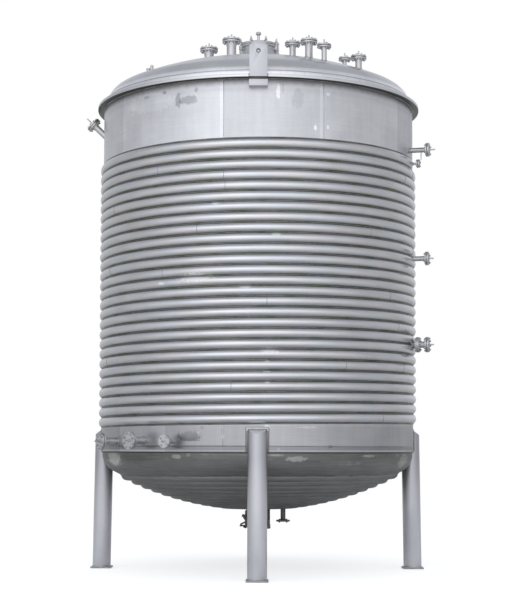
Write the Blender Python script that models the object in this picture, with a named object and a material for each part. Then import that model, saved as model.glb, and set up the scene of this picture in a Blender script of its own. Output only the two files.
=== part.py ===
"""Process tank: a stainless vessel with half-pipe coils, dished ends and four pipe legs.

Metres, +Z up. The origin is on the ground, on the vessel's axis. The front is towards -Y.
A bearing is an angle in degrees round the axis: 0 is the front, 90 the right (+X) and
180 the back.
"""

import math

import bmesh
import bpy
from mathutils import Matrix, Vector

# Vessel
SIDES = 36
STEP = 360.0 / SIDES
FACET = math.cos(math.radians(STEP / 2.0))
SHELL_RADIUS = 1.900
WALL = 0.010
SHELL_BOTTOM = 1.418
SHELL_TOP = 5.585
GAP = 0.0003
MERGE_DISTANCE = 0.00001
PLATE_STEPS = (4, 5, 4, 5, 4, 5, 4, 5)
PLATE_START = -65.0

# Rim ring between shell and top head
RIM_RADIUS = 1.976
RIM_BORE = 1.862
RIM_THICKNESS = 0.037

# Dished heads
TOP_HEAD_RADIUS = 1.880
TOP_CROWN = 4.300
TOP_KNUCKLE = 0.250
BOTTOM_HEAD_RADIUS = SHELL_RADIUS - WALL - 2.0 * GAP
BOTTOM_CROWN = 3.700
BOTTOM_KNUCKLE = 0.230
BOTTOM_TANGENT = 1.390
BOTTOM_LAP = 0.030
CROWN_STEPS = 6
KNUCKLE_STEPS = 3

# Half-pipe coils
PITCH = 0.1181
COIL_WIDTH = 0.112
COIL_FLAT = 0.052
COIL_RISE = 0.036
COIL_FRONT_Z = 1.790
COIL_START = -85.0
COIL_BREAKS = (8 * 360.0 + 95.0, 17 * 360.0 + 95.0)
COIL_END = 26 * 360.0 + 75.0
COIL_BREAK_STEPS = 1
BOTTOM_COIL_OUTER = 1.664
BOTTOM_COIL_INNER = 0.420
BOTTOM_COIL_GAP = 0.0009
BOTTOM_COIL_START = 85.0

# Legs
LEG_BEARINGS = (("front", 0.0), ("right", 90.0), ("back", 180.0), ("left", 270.0))
LEG_CENTRE = 1.897
LEG_SPLAY = 0.0147
LEG_RADIUS = 0.1095
LEG_SIDES = 16
LEG_TOP_OUTER = 1.622
LEG_TOP_SLOPE = 0.70
FOOT_SIZE = 0.250
FOOT_THICKNESS = 0.020
PAD_WIDTH = 0.250
PAD_LOW = 1.420
PAD_HIGH = 1.690
PAD_THICKNESS = 0.010
ROOM_DEPTH = 0.100

# Lifting lugs on the front and back
LUG_BEARINGS = (("front", 0.0), ("back", 180.0))
LUG_WIDTH = 0.212
LUG_LOW = 5.477
LUG_HIGH = 5.980
LUG_THICKNESS = 0.025
LUG_HOLE_Z = 5.890
LUG_HOLE_RADIUS = 0.024
LUG_HOLE_DEPTH = 0.100
LUG_CORNER = 0.045
LUG_BLOCK_HIGH = 5.566
LUG_BLOCK_INSET = 0.006

# Manhole on the top head
MANHOLE_X = 0.000
MANHOLE_Y = -0.200
MANHOLE_RADIUS = 0.203
MANHOLE_BORE = 0.191
MANHOLE_FACE = 6.385
MANHOLE_RING = 0.228
MANHOLE_RING_THICKNESS = 0.022
LID_RADIUS = 0.2335
LID_THICKNESS = 0.030
LID_SIDES = 24
KNOB_TOP = 6.573
KNOB_RADIUS = 0.016
KNOB_HEAD = 0.034
KNOB_HEAD_THICKNESS = 0.040
BORE_MIDDLE = 6.200
BORE_DEPTH = 0.400

# Standard flanged nozzles: neck radius, flange radius, flange thickness
DN100 = (0.0570, 0.110, 0.022)
DN80 = (0.0445, 0.100, 0.022)
DN65 = (0.0380, 0.0925, 0.020)
DN50 = (0.0300, 0.0825, 0.020)
DN40 = (0.0240, 0.0750, 0.018)
DN20 = (0.0135, 0.0525, 0.016)
NOZZLE_SIDES = 16
STUD_RADIUS = 0.009
STUD_LENGTH = 0.060
UPPER_STUD = 0.0696
SLANT_STUD = 0.097
ROOT_DEPTH = 0.060
COLLAR_LOW = 0.030
COLLAR_HIGH = 0.068

# Nozzles standing on the top head: name, size, x, y, height of the top face
TOP_NOZZLES = (
    ("top_nozzle_1", DN100, -0.608, -0.200, 6.370),
    ("top_nozzle_2", DN100, -0.325, -0.620, 6.370),
    ("top_nozzle_3", DN65, 0.407, -0.800, 6.285),
    ("top_nozzle_4", DN80, 0.590, -1.100, 6.235),
    ("top_nozzle_5", DN50, 0.760, -1.300, 6.130),
    ("top_nozzle_6", DN40, 1.055, -0.300, 6.230),
    ("top_nozzle_7", DN65, 1.173, -1.080, 6.050),
)

# Nozzles on the wall: name, size, bearing, height, reach of the outer face from the axis,
# length of the plug's stud. Those on a coil say whether a second flange stands at the coil.
SIDE_REACH = 2.1184
SIDE_BEARING = 75.0
WALL_NOZZLES = (
    ("side_nozzle_upper", DN50, SIDE_BEARING, 5.049, 2.130, UPPER_STUD),
    ("low_nozzle_1", DN80, -59.0, 1.535, 2.128, STUD_LENGTH),
    ("low_nozzle_2", DN80, -43.0, 1.543, 2.130, STUD_LENGTH),
    ("low_nozzle_3", DN40, -30.0, 1.535, 2.080, STUD_LENGTH),
)
COIL_NOZZLES = (
    ("side_nozzle_middle", DN50, SIDE_BEARING, 3.735, SIDE_REACH, False),
    ("side_nozzle_lower", DN65, SIDE_BEARING, 2.700, SIDE_REACH, True),
    ("coil_vent_nozzle", DN20, SIDE_BEARING, 4.886, 2.012, False),
)

# Inclined nozzle high on the left
SLANT_BEARING = -90.0
SLANT_ANGLE = 44.0
SLANT_ROOT_Z = 5.318
SLANT_LENGTH = 0.210

# Outlet and drain under the bottom head
OUTLET_RADIUS = 0.1365
OUTLET_LOW = 0.560
OUTLET_FLANGE = 0.152
OUTLET_FLANGE_THICKNESS = 0.024
VALVE_LOW = 0.470
VALVE_RADIUS = 0.095
HANDLE_REACH = 0.215
HANDLE_RADIUS = 0.011
HANDLE_Z = 0.515
HANDLE_SIDES = 8
DRAIN_X = 0.312
DRAIN_Y = -0.200
DRAIN_LOW = 0.575

# Edges sharper than this stay sharp when a piece is shaded
SHARP_ANGLE = 32.0

# Colours of the metals: base colour, roughness
STAINLESS = ((0.60, 0.60, 0.62), 0.38)
COIL_METAL = ((0.66, 0.66, 0.68), 0.30)
UNDERSIDE = ((0.27, 0.27, 0.26), 0.50)
LEG_METAL = ((0.62, 0.62, 0.65), 0.45)
FORGED = ((0.50, 0.50, 0.51), 0.42)
VALVE_METAL = ((0.16, 0.16, 0.16), 0.50)


def clear_scene():
    """Remove every object, so that the script gives the same scene each run."""
    for item in list(bpy.data.objects):
        bpy.data.objects.remove(item, do_unlink=True)


def steel(name, look):
    """Make a metal material from a colour and a roughness."""
    colour, roughness = look
    material = bpy.data.materials.new(name)
    material.use_nodes = True
    shader = material.node_tree.nodes["Principled BSDF"]
    shader.inputs["Base Color"].default_value = (*colour, 1.0)
    shader.inputs["Roughness"].default_value = roughness
    shader.inputs["Metallic"].default_value = 1.0
    material.diffuse_color = (*colour, 1.0)
    return material


def outward(bearing):
    """Unit vector that points away from the axis at a bearing."""
    angle = math.radians(bearing)
    return Vector((math.sin(angle), -math.cos(angle), 0.0))


def around(radius, bearing, height):
    """Point at a radius, bearing and height."""
    return outward(bearing) * radius + Vector((0.0, 0.0, height))


def add_object(name, bm, look):
    """Turn a bmesh into a named, smooth-shaded object with its own material."""
    bmesh.ops.recalc_face_normals(bm, faces=bm.faces[:])
    mesh = bpy.data.meshes.new(name)
    bm.to_mesh(mesh)
    bm.free()
    mesh.shade_smooth()
    mesh.set_sharp_from_angle(angle=math.radians(SHARP_ANGLE))
    mesh.materials.append(steel(name + "_metal", look))
    item = bpy.data.objects.new(name, mesh)
    bpy.context.scene.collection.objects.link(item)
    return item


def spin_outline(bm, outline, sides=SIDES, closed=False):
    """Turn an outline of (radius, height) points all the way round the Z axis."""
    first = 180.0 / sides
    verts = [bm.verts.new(around(radius, first, height)) for radius, height in outline]
    edges = [bm.edges.new(pair) for pair in zip(verts, verts[1:])]
    if closed:
        edges.append(bm.edges.new((verts[-1], verts[0])))
    bmesh.ops.spin(
        bm, geom=verts + edges, cent=(0, 0, 0), axis=(0, 0, 1), angle=math.tau, steps=sides,
        use_merge=True,
    )
    bmesh.ops.remove_doubles(bm, verts=bm.verts[:], dist=MERGE_DISTANCE)


def loft(bm, rings):
    """Join rings of points with quads and close both ends."""
    loops = [[bm.verts.new(point) for point in ring] for ring in rings]
    for low, high in zip(loops, loops[1:]):
        count = len(low)
        for index in range(count):
            after = (index + 1) % count
            bm.faces.new((low[index], low[after], high[after], high[index]))
    bm.faces.new(list(reversed(loops[0])))
    bm.faces.new(loops[-1])


def aim(point, direction):
    """Matrix that puts a piece made along +Z at a point, along a direction."""
    turn = Vector((0.0, 0.0, 1.0)).rotation_difference(direction)
    return Matrix.Translation(point) @ turn.to_matrix().to_4x4()


def add_turned(bm, outline, place, sides=NOZZLE_SIDES):
    """Turn an outline that starts and ends on its own axis, and place the solid."""
    part = bmesh.new()
    spin_outline(part, outline, sides)
    part.transform(place)
    mesh = bpy.data.meshes.new("turned_part")
    part.to_mesh(mesh)
    part.free()
    bm.from_mesh(mesh)
    bpy.data.meshes.remove(mesh)


def add_box(bm, low, high, place=Matrix.Identity(4)):
    """Add a box between two corners, moved by a matrix."""
    size = Vector(high) - Vector(low)
    centre = (Vector(high) + Vector(low)) / 2.0
    matrix = place @ Matrix.Translation(centre) @ Matrix.Diagonal((*size, 1.0))
    bmesh.ops.create_cube(bm, size=1.0, matrix=matrix)


def make_cutter(name, bm):
    """Make a hidden guide that other pieces are trimmed with."""
    item = add_object(name, bm, STAINLESS)
    item.hide_render = True
    item.display_type = "WIRE"
    return item


def trim(item, cutter):
    """Cut a guide's space out of a piece."""
    modifier = item.modifiers.new("trim_" + cutter.name, "BOOLEAN")
    modifier.operation = "DIFFERENCE"
    modifier.solver = "EXACT"
    modifier.object = cutter


def weld(item, guide):
    """Join a guide's solid to a piece."""
    modifier = item.modifiers.new("weld_" + guide.name, "BOOLEAN")
    modifier.operation = "UNION"
    modifier.solver = "EXACT"
    modifier.object = guide


def dish_height(radius, crown, knuckle, edge):
    """Height of a dished end over its tangent line at a radius."""
    hub = math.sqrt((crown - knuckle) ** 2 - (edge - knuckle) ** 2)
    blend = (edge - knuckle) * crown / (crown - knuckle)
    if radius <= blend:
        return math.sqrt(crown ** 2 - radius ** 2) - hub
    return math.sqrt(max(0.0, knuckle ** 2 - (radius - edge + knuckle) ** 2))


def dish_outline(crown, knuckle, edge, crown_steps, knuckle_steps):
    """Points of a dished end from its tangent line to its middle, over that line."""
    blend = math.asin((edge - knuckle) / (crown - knuckle))
    points = []
    for index in range(knuckle_steps):
        angle = math.pi / 2.0 - (math.pi / 2.0 - blend) * index / knuckle_steps
        points.append((edge - knuckle + knuckle * math.sin(angle), knuckle * math.cos(angle)))
    hub = math.sqrt((crown - knuckle) ** 2 - (edge - knuckle) ** 2)
    for index in range(crown_steps + 1):
        angle = blend * (1.0 - index / crown_steps)
        points.append((crown * math.sin(angle), crown * math.cos(angle) - hub))
    return points


def head_outline(crown, knuckle, edge, wall):
    """Outer face of a dished end to the middle, then its inner face back."""
    outer = dish_outline(crown, knuckle, edge, CROWN_STEPS, KNUCKLE_STEPS)
    inner = dish_outline(
        crown - wall, knuckle - wall, edge - wall, CROWN_STEPS - 1, KNUCKLE_STEPS - 1,
    )
    return outer, inner


def top_height(x, y):
    """Height of the top head's outer face over a point."""
    radius = math.hypot(x, y)
    rise = dish_height(radius, TOP_CROWN, TOP_KNUCKLE, TOP_HEAD_RADIUS)
    return SHELL_TOP + RIM_THICKNESS + 2.0 * GAP + rise


def bottom_height(radius):
    """Height of the bottom head's outer face at a radius."""
    return BOTTOM_TANGENT - dish_height(radius, BOTTOM_CROWN, BOTTOM_KNUCKLE, BOTTOM_HEAD_RADIUS)


def make_shell():
    """Rolled wall plates, side by side, with a weld gap between them."""
    inner = SHELL_RADIUS - WALL
    outline = [
        (SHELL_RADIUS, SHELL_TOP), (SHELL_RADIUS, SHELL_BOTTOM),
        (inner, SHELL_BOTTOM), (inner, SHELL_TOP),
    ]
    joint = math.degrees(GAP / SHELL_RADIUS) / 2.0
    bearing = PLATE_START
    for number, steps in enumerate(PLATE_STEPS, start=1):
        stations = [bearing + STEP * index for index in range(steps + 1)]
        stations[0] += joint
        stations[-1] -= joint
        bm = bmesh.new()
        loft(bm, [[around(radius, at, height) for radius, height in outline] for at in stations])
        add_object("shell_plate_{}".format(number), bm, STAINLESS)
        bearing += STEP * steps


def make_rim():
    """Flat ring that carries the top head and stands proud of the shell."""
    low = SHELL_TOP + GAP
    high = low + RIM_THICKNESS
    outline = [(RIM_RADIUS, high), (RIM_RADIUS, low), (RIM_BORE, low), (RIM_BORE, high)]
    bm = bmesh.new()
    spin_outline(bm, outline, closed=True)
    add_object("rim_ring", bm, STAINLESS)


def make_bore():
    """Guide that opens the top head under the manhole."""
    bm = bmesh.new()
    middle = Matrix.Translation((MANHOLE_X, MANHOLE_Y, BORE_MIDDLE))
    bmesh.ops.create_cone(
        bm, cap_ends=True, segments=LID_SIDES, radius1=MANHOLE_BORE, radius2=MANHOLE_BORE,
        depth=BORE_DEPTH, matrix=middle @ Matrix.Rotation(math.pi / LID_SIDES, 4, "Z"),
    )
    return make_cutter("manhole_bore", bm)


def make_top_head():
    """Top dished end, open under the manhole."""
    base = SHELL_TOP + RIM_THICKNESS + 2.0 * GAP
    outer, inner = head_outline(TOP_CROWN, TOP_KNUCKLE, TOP_HEAD_RADIUS, WALL)
    bm = bmesh.new()
    spin_outline(bm, [(radius, base + rise) for radius, rise in outer[::-1] + inner])
    trim(add_object("top_head", bm, STAINLESS), make_bore())


def make_bottom_head():
    """Bottom dished end, whose straight edge laps inside the shell."""
    top = SHELL_BOTTOM + BOTTOM_LAP
    outer, inner = head_outline(BOTTOM_CROWN, BOTTOM_KNUCKLE, BOTTOM_HEAD_RADIUS, WALL)
    outline = [(radius, BOTTOM_TANGENT - rise) for radius, rise in outer[::-1]]
    outline += [(outer[0][0], top), (inner[0][0], top)]
    outline += [(radius, BOTTOM_TANGENT - rise) for radius, rise in inner]
    bm = bmesh.new()
    spin_outline(bm, outline)
    add_object("bottom_head", bm, UNDERSIDE)


def coil_section(width, flat, rise):
    """Half-pipe section: (along the pitch, out of the wall)."""
    return [(-width / 2.0, 0.0), (-flat / 2.0, rise), (flat / 2.0, rise), (width / 2.0, 0.0)]


def make_shell_coils():
    """Helical half-pipe in three zones up the shell."""
    starts = (COIL_START,) + tuple(turn + STEP * COIL_BREAK_STEPS for turn in COIL_BREAKS)
    ends = COIL_BREAKS + (COIL_END,)
    section = coil_section(COIL_WIDTH, COIL_FLAT, COIL_RISE)
    for name, first, last in zip(("coil_lower", "coil_middle", "coil_upper"), starts, ends):
        rings = []
        for index in range(round((last - first) / STEP) + 1):
            bearing = first + STEP * index
            centre = COIL_FRONT_Z + PITCH * bearing / 360.0
            rings.append([
                around(SHELL_RADIUS + GAP + out, bearing, centre + along) for along, out in section
            ])
        bm = bmesh.new()
        loft(bm, rings)
        add_object(name, bm, COIL_METAL)


def make_bottom_coil():
    """Spiral half-pipe on the bottom head, wound from right to front and inwards."""
    section = coil_section(COIL_WIDTH, COIL_FLAT, COIL_RISE)
    turns = (BOTTOM_COIL_OUTER - BOTTOM_COIL_INNER) / PITCH
    rings = []
    for index in range(round(turns * SIDES) + 1):
        bearing = BOTTOM_COIL_START - STEP * index
        middle = BOTTOM_COIL_OUTER - PITCH * index / SIDES
        lean = math.asin(middle / BOTTOM_CROWN)
        ring = []
        for along, out in section:
            radius = middle + along * math.cos(lean)
            foot = bottom_height(radius) - BOTTOM_COIL_GAP
            ring.append(around(radius + out * math.sin(lean), bearing, foot - out * math.cos(lean)))
        rings.append(ring)
    bm = bmesh.new()
    loft(bm, rings)
    add_object("bottom_coil", bm, UNDERSIDE)


def make_envelope():
    """Guide with the outer form of shell and heads, a weld gap larger."""
    top, _ = head_outline(TOP_CROWN, TOP_KNUCKLE, TOP_HEAD_RADIUS, WALL)
    bottom, _ = head_outline(BOTTOM_CROWN, BOTTOM_KNUCKLE, BOTTOM_HEAD_RADIUS, WALL)
    base = SHELL_TOP + RIM_THICKNESS + 2.0 * GAP
    outline = [(radius, base + rise + GAP) for radius, rise in reversed(top)]
    outline += [(TOP_HEAD_RADIUS + GAP, SHELL_TOP), (SHELL_RADIUS + GAP, SHELL_TOP)]
    outline += [(SHELL_RADIUS + GAP, SHELL_BOTTOM), (BOTTOM_HEAD_RADIUS + GAP, SHELL_BOTTOM - GAP)]
    outline += [(radius + GAP, BOTTOM_TANGENT - rise - GAP) for radius, rise in bottom[:-1]]
    outline.append((0.0, BOTTOM_TANGENT - bottom[-1][1] - GAP))
    bm = bmesh.new()
    spin_outline(bm, outline)
    return make_cutter("vessel_envelope", bm)


def wall_frame(bearing, radius, height):
    """Matrix with X along the wall, Y outwards and Z up, at a point beside the vessel."""
    out = outward(bearing)
    along = Vector((-out.y, out.x, 0.0))
    matrix = Matrix.Identity(4)
    matrix.col[0] = (*along, 0.0)
    matrix.col[1] = (*out, 0.0)
    matrix.col[2] = (0.0, 0.0, 1.0, 0.0)
    matrix.col[3] = (*(out * radius + Vector((0.0, 0.0, height))), 1.0)
    return matrix


def make_leg_pads():
    """Pads welded to the shell, and the room that each leg leaves for its pad."""
    flat = SHELL_RADIUS * FACET
    half = PAD_WIDTH / 2.0
    room = bmesh.new()
    for name, bearing in LEG_BEARINGS:
        place = wall_frame(bearing, flat, 0.0)
        bm = bmesh.new()
        add_box(bm, (-half, GAP, PAD_LOW), (half, GAP + PAD_THICKNESS, PAD_HIGH), place)
        add_object("leg_pad_" + name, bm, LEG_METAL)
        low = (-half, -ROOM_DEPTH, PAD_LOW - GAP)
        add_box(room, low, (half, 2.0 * GAP + PAD_THICKNESS, PAD_HIGH + GAP), place)
    return make_cutter("pad_room", room)


def make_legs(envelope, room):
    """Pipe legs that lean in to the vessel, trimmed to it and to their pads, with foot plates."""
    low = FOOT_THICKNESS / 2.0
    tall = LEG_TOP_OUTER - low
    half = FOOT_SIZE / 2.0
    for name, bearing in LEG_BEARINGS:
        place = wall_frame(bearing, LEG_CENTRE, 0.0)
        bm = bmesh.new()
        add_box(bm, (-half, -half, 0.0), (half, half, FOOT_THICKNESS), place)
        foot = make_cutter("foot_guide_" + name, bm)
        bm = bmesh.new()
        middle = Matrix.Translation((0.0, 0.0, low + tall / 2.0))
        bmesh.ops.create_cone(
            bm, cap_ends=True, segments=LEG_SIDES, radius1=LEG_RADIUS, radius2=LEG_RADIUS,
            depth=tall, matrix=middle @ Matrix.Rotation(math.pi / LEG_SIDES, 4, "Z"),
        )
        for vert in bm.verts:
            if vert.co.z > tall / 2.0:
                vert.co.z += (LEG_RADIUS - vert.co.y) * LEG_TOP_SLOPE
        for vert in bm.verts:
            vert.co.y -= vert.co.z * LEG_SPLAY
        bm.transform(place)
        leg = add_object("leg_" + name, bm, LEG_METAL)
        weld(leg, foot)
        trim(leg, envelope)
        trim(leg, room)


def make_lugs():
    """Lifting plates outside the rim, each with the block that joins it to the shell."""
    rim_flat = RIM_RADIUS * FACET
    shell_flat = SHELL_RADIUS * FACET
    near = rim_flat + GAP
    half = LUG_WIDTH / 2.0
    corner = LUG_CORNER
    shape = [
        (-half, LUG_LOW), (half, LUG_LOW), (half, LUG_HIGH - corner),
        (half - corner, LUG_HIGH), (corner - half, LUG_HIGH), (-half, LUG_HIGH - corner),
    ]
    for name, bearing in LUG_BEARINGS:
        place = wall_frame(bearing, 0.0, 0.0)
        bm = bmesh.new()
        centre = around(near, bearing, LUG_HOLE_Z)
        bmesh.ops.create_cone(
            bm, cap_ends=True, segments=NOZZLE_SIDES, radius1=LUG_HOLE_RADIUS,
            radius2=LUG_HOLE_RADIUS, depth=LUG_HOLE_DEPTH, matrix=aim(centre, outward(bearing)),
        )
        hole = make_cutter("lug_hole_" + name, bm)
        bm = bmesh.new()
        inset = half - LUG_BLOCK_INSET
        low = (-inset, shell_flat + GAP, LUG_LOW + LUG_BLOCK_INSET)
        add_box(bm, low, (inset, near + LUG_THICKNESS / 2.0, LUG_BLOCK_HIGH), place)
        block = make_cutter("lug_block_" + name, bm)
        bm = bmesh.new()
        depths = (near, near + LUG_THICKNESS)
        loft(bm, [[place @ Vector((x, depth, z)) for x, z in shape] for depth in depths])
        lug = add_object("lifting_lug_" + name, bm, STAINLESS)
        weld(lug, block)
        trim(lug, hole)


def nozzle_outline(size, length, collar, stud):
    """Neck, flange, blind cover and plug along +Z, from the root to the plug's tip."""
    neck, flange, thickness = size
    tip = length + stud
    back = length - 2.0 * thickness
    outline = [
        (0.0, tip), (STUD_RADIUS, tip), (STUD_RADIUS, length), (flange, length),
        (flange, back), (neck, back),
    ]
    if collar:
        outline += [
            (neck, COLLAR_HIGH), (flange, COLLAR_HIGH), (flange, COLLAR_LOW), (neck, COLLAR_LOW),
        ]
    return outline + [(neck, 0.0), (0.0, 0.0)]


def add_nozzle(
    name, size, root, direction, length, envelope=None, collar=False, stud=STUD_LENGTH,
):
    """A nozzle that is closed by a blind cover, trimmed to the vessel where it enters it."""
    bm = bmesh.new()
    add_turned(bm, nozzle_outline(size, length, collar, stud), aim(root, direction))
    item = add_object(name, bm, FORGED)
    if envelope is not None:
        trim(item, envelope)


def make_top_nozzles(envelope):
    """Flanged nozzles with blind covers on the top head."""
    up = Vector((0.0, 0.0, 1.0))
    for name, size, x, y, face in TOP_NOZZLES:
        root = Vector((x, y, top_height(x, y) - ROOT_DEPTH))
        add_nozzle(name, size, root, up, face - root.z, envelope)


def make_wall_nozzles(envelope):
    """Nozzles on the wall and on the coils, and the inclined one on the left."""
    start = SHELL_RADIUS - ROOT_DEPTH
    for name, size, bearing, height, reach, stud in WALL_NOZZLES:
        root = around(start, bearing, height)
        add_nozzle(name, size, root, outward(bearing), reach - start, envelope, stud=stud)
    crest = SHELL_RADIUS + COIL_RISE + 2.0 * GAP
    for name, size, bearing, height, reach, collar in COIL_NOZZLES:
        root = around(crest, bearing, height)
        add_nozzle(name, size, root, outward(bearing), reach - crest, collar=collar)
    lean = math.radians(SLANT_ANGLE)
    direction = outward(SLANT_BEARING) * math.cos(lean) + Vector((0.0, 0.0, math.sin(lean)))
    root = around(SHELL_RADIUS, SLANT_BEARING, SLANT_ROOT_Z) - direction * ROOT_DEPTH
    length = SLANT_LENGTH + ROOT_DEPTH
    add_nozzle("slanted_nozzle", DN65, root, direction, length, envelope, stud=SLANT_STUD)


def make_manhole(envelope):
    """Neck with its ring, and the lid with its knob."""
    centre = Vector((MANHOLE_X, MANHOLE_Y, 0.0))
    place = Matrix.Translation(centre)
    root = top_height(MANHOLE_X, MANHOLE_Y) - ROOT_DEPTH
    ring_low = MANHOLE_FACE - MANHOLE_RING_THICKNESS
    bm = bmesh.new()
    outline = [
        (MANHOLE_RING, MANHOLE_FACE), (MANHOLE_RING, ring_low), (MANHOLE_RADIUS, ring_low),
        (MANHOLE_RADIUS, root), (MANHOLE_BORE, root), (MANHOLE_BORE, MANHOLE_FACE),
    ]
    spin_outline(bm, outline, LID_SIDES, closed=True)
    bm.transform(place)
    trim(add_object("manhole_neck", bm, FORGED), envelope)
    low = MANHOLE_FACE + GAP
    high = low + LID_THICKNESS
    bm = bmesh.new()
    outline = [
        (0.0, KNOB_TOP), (KNOB_HEAD, KNOB_TOP), (KNOB_HEAD, KNOB_TOP - KNOB_HEAD_THICKNESS),
        (KNOB_RADIUS, KNOB_TOP - KNOB_HEAD_THICKNESS), (KNOB_RADIUS, high),
        (LID_RADIUS, high), (LID_RADIUS, low), (0.0, low),
    ]
    add_turned(bm, outline, place, sides=LID_SIDES)
    add_object("manhole_lid", bm, FORGED)


def make_underside(envelope):
    """Outlet neck with its flange, the valve body with its handle, and the small drain."""
    neck_low = OUTLET_LOW + GAP
    root = bottom_height(0.0) + ROOT_DEPTH
    bm = bmesh.new()
    outline = [
        (0.0, root), (OUTLET_RADIUS, root), (OUTLET_RADIUS, neck_low + OUTLET_FLANGE_THICKNESS),
        (OUTLET_FLANGE, neck_low + OUTLET_FLANGE_THICKNESS), (OUTLET_FLANGE, neck_low), (0.0, neck_low),
    ]
    add_turned(bm, outline, Matrix.Identity(4), sides=LID_SIDES)
    trim(add_object("outlet_neck", bm, VALVE_METAL), envelope)
    outline = [(0.0, HANDLE_REACH), (HANDLE_RADIUS, HANDLE_REACH), (HANDLE_RADIUS, 0.0), (0.0, 0.0)]
    bm = bmesh.new()
    add_turned(bm, outline, aim(Vector((0.0, 0.0, HANDLE_Z)), outward(-90.0)), sides=HANDLE_SIDES)
    handle = make_cutter("handle_guide", bm)
    shoulder = OUTLET_LOW - OUTLET_FLANGE_THICKNESS
    outline = [
        (0.0, OUTLET_LOW), (OUTLET_FLANGE, OUTLET_LOW), (OUTLET_FLANGE, shoulder),
        (VALVE_RADIUS, VALVE_LOW), (0.0, VALVE_LOW),
    ]
    bm = bmesh.new()
    add_turned(bm, outline, Matrix.Identity(4), sides=LID_SIDES)
    weld(add_object("outlet_valve", bm, VALVE_METAL), handle)
    top = bottom_height(math.hypot(DRAIN_X, DRAIN_Y)) + ROOT_DEPTH
    length = top - DRAIN_LOW
    neck, flange, thickness = DN50
    outline = [
        (0.0, length), (flange, length), (flange, length - thickness),
        (neck, length - thickness), (neck, 0.0), (0.0, 0.0),
    ]
    bm = bmesh.new()
    place = Matrix.Translation((DRAIN_X, DRAIN_Y, top)) @ Matrix.Rotation(math.pi, 4, "X")
    add_turned(bm, outline, place)
    trim(add_object("drain_nozzle", bm, VALVE_METAL), envelope)


def main():
    """Build the tank from the shell outwards."""
    clear_scene()
    make_shell()
    make_rim()
    make_top_head()
    make_bottom_head()
    make_shell_coils()
    make_bottom_coil()
    envelope = make_envelope()
    make_legs(envelope, make_leg_pads())
    make_lugs()
    make_top_nozzles(envelope)
    make_wall_nozzles(envelope)
    make_manhole(envelope)
    make_underside(envelope)


main()
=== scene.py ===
"""Dressed process tank: stainless vessel with half-pipe coils, dished ends and four pipe legs.

Metres, +Z up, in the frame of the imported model. The origin is on the ground, on the vessel's
axis, and the front is towards -Y. A bearing is an angle in degrees round the axis: 0 is the
front, 90 the right (+X) and 180 the back.
"""

import sys
import logging
import math
import random
from contextlib import contextmanager
from dataclasses import dataclass
from enum import Enum
from functools import reduce
from itertools import pairwise
from typing import Callable, Iterable, Iterator, Sequence

import bmesh
import bpy
from mathutils import Matrix, Vector


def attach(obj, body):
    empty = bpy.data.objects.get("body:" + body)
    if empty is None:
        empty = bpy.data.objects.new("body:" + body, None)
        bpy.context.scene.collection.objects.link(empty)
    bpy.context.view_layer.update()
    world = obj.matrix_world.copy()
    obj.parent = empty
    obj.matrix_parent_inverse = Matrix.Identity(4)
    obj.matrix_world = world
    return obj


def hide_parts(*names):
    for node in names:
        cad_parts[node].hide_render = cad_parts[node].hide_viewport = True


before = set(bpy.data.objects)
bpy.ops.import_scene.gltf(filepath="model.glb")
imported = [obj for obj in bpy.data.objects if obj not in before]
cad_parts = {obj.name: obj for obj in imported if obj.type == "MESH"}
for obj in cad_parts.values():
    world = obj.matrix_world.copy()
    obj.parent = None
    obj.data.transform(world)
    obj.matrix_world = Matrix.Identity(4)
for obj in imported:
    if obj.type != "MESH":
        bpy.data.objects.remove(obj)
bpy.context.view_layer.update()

log = logging.getLogger("process_tank")

Pair = tuple[float, float]
Triple = tuple[float, float, float]
Line = list[Pair]
Colour = Triple
Ramps = tuple[Triple, ...]
Piece = bpy.types.Object
Material = bpy.types.Material
Socket = bpy.types.NodeSocket

BODY = "root"
SEED_SIZE = 0.01
MERGE = 0.00002
UP = Vector((0.0, 0.0, 1.0))

# Wall
SHELL_RADIUS = 1.900
WALL = 0.010
SHELL_BOTTOM = 1.418
SHELL_TOP = 5.585
LIP_HIGH = 1.482
ROUND_STEPS = 144

# Rim ring and heads
RIM_LOW = 5.5853
RIM_THICKNESS = 0.037
RIM_RADIUS = 1.976
RIM_BORE = 1.862
HEAD_BASE = RIM_LOW + RIM_THICKNESS + 0.0003
TOP_EDGE = 1.880
BOTTOM_EDGE = 1.8894
BOTTOM_TANGENT = 1.390

# Coils
PITCH = 0.1181
COIL_WIDTH = 0.112
COIL_RISE = 0.036
COIL_BEND = (COIL_WIDTH ** 2 / 4.0 + COIL_RISE ** 2) / (2.0 * COIL_RISE)
COIL_FRONT_Z = 1.790
COIL_STEPS = 120
COIL_ARC_STEPS = 12


@dataclass(eq=False)
class FlangeSize:
    """Radii of neck, flange, bolt circle and thread, with plate thickness and number of bolts."""

    neck: float
    flange: float
    plate: float
    circle: float
    bolts: int
    thread: float


class Size(FlangeSize, Enum):
    """Flange sizes."""

    DN100 = (0.0570, 0.1100, 0.022, 0.0900, 8, 0.008)
    DN80 = (0.0445, 0.1000, 0.022, 0.0800, 8, 0.008)
    DN65 = (0.0380, 0.0925, 0.020, 0.0725, 8, 0.008)
    DN50 = (0.0300, 0.0825, 0.020, 0.0625, 4, 0.008)
    DN40 = (0.0240, 0.0750, 0.018, 0.0550, 4, 0.008)
    DN20 = (0.0135, 0.0525, 0.016, 0.0375, 4, 0.006)


class Slot(Enum):
    """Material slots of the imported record."""

    SHELL = "shell_plate"
    TOP = "top_head"
    COIL = "half_pipe"
    UNDER = "underside"
    LEG = "leg_steel"
    LUG = "lug_plate"
    FITTING = "fittings"
    OUTLET = "outlet_steel"


# Places


def outward(bearing: float) -> Vector:
    """Unit vector that points away from the axis at a bearing."""
    angle = math.radians(bearing)
    return Vector((math.sin(angle), -math.cos(angle), 0.0))


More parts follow.
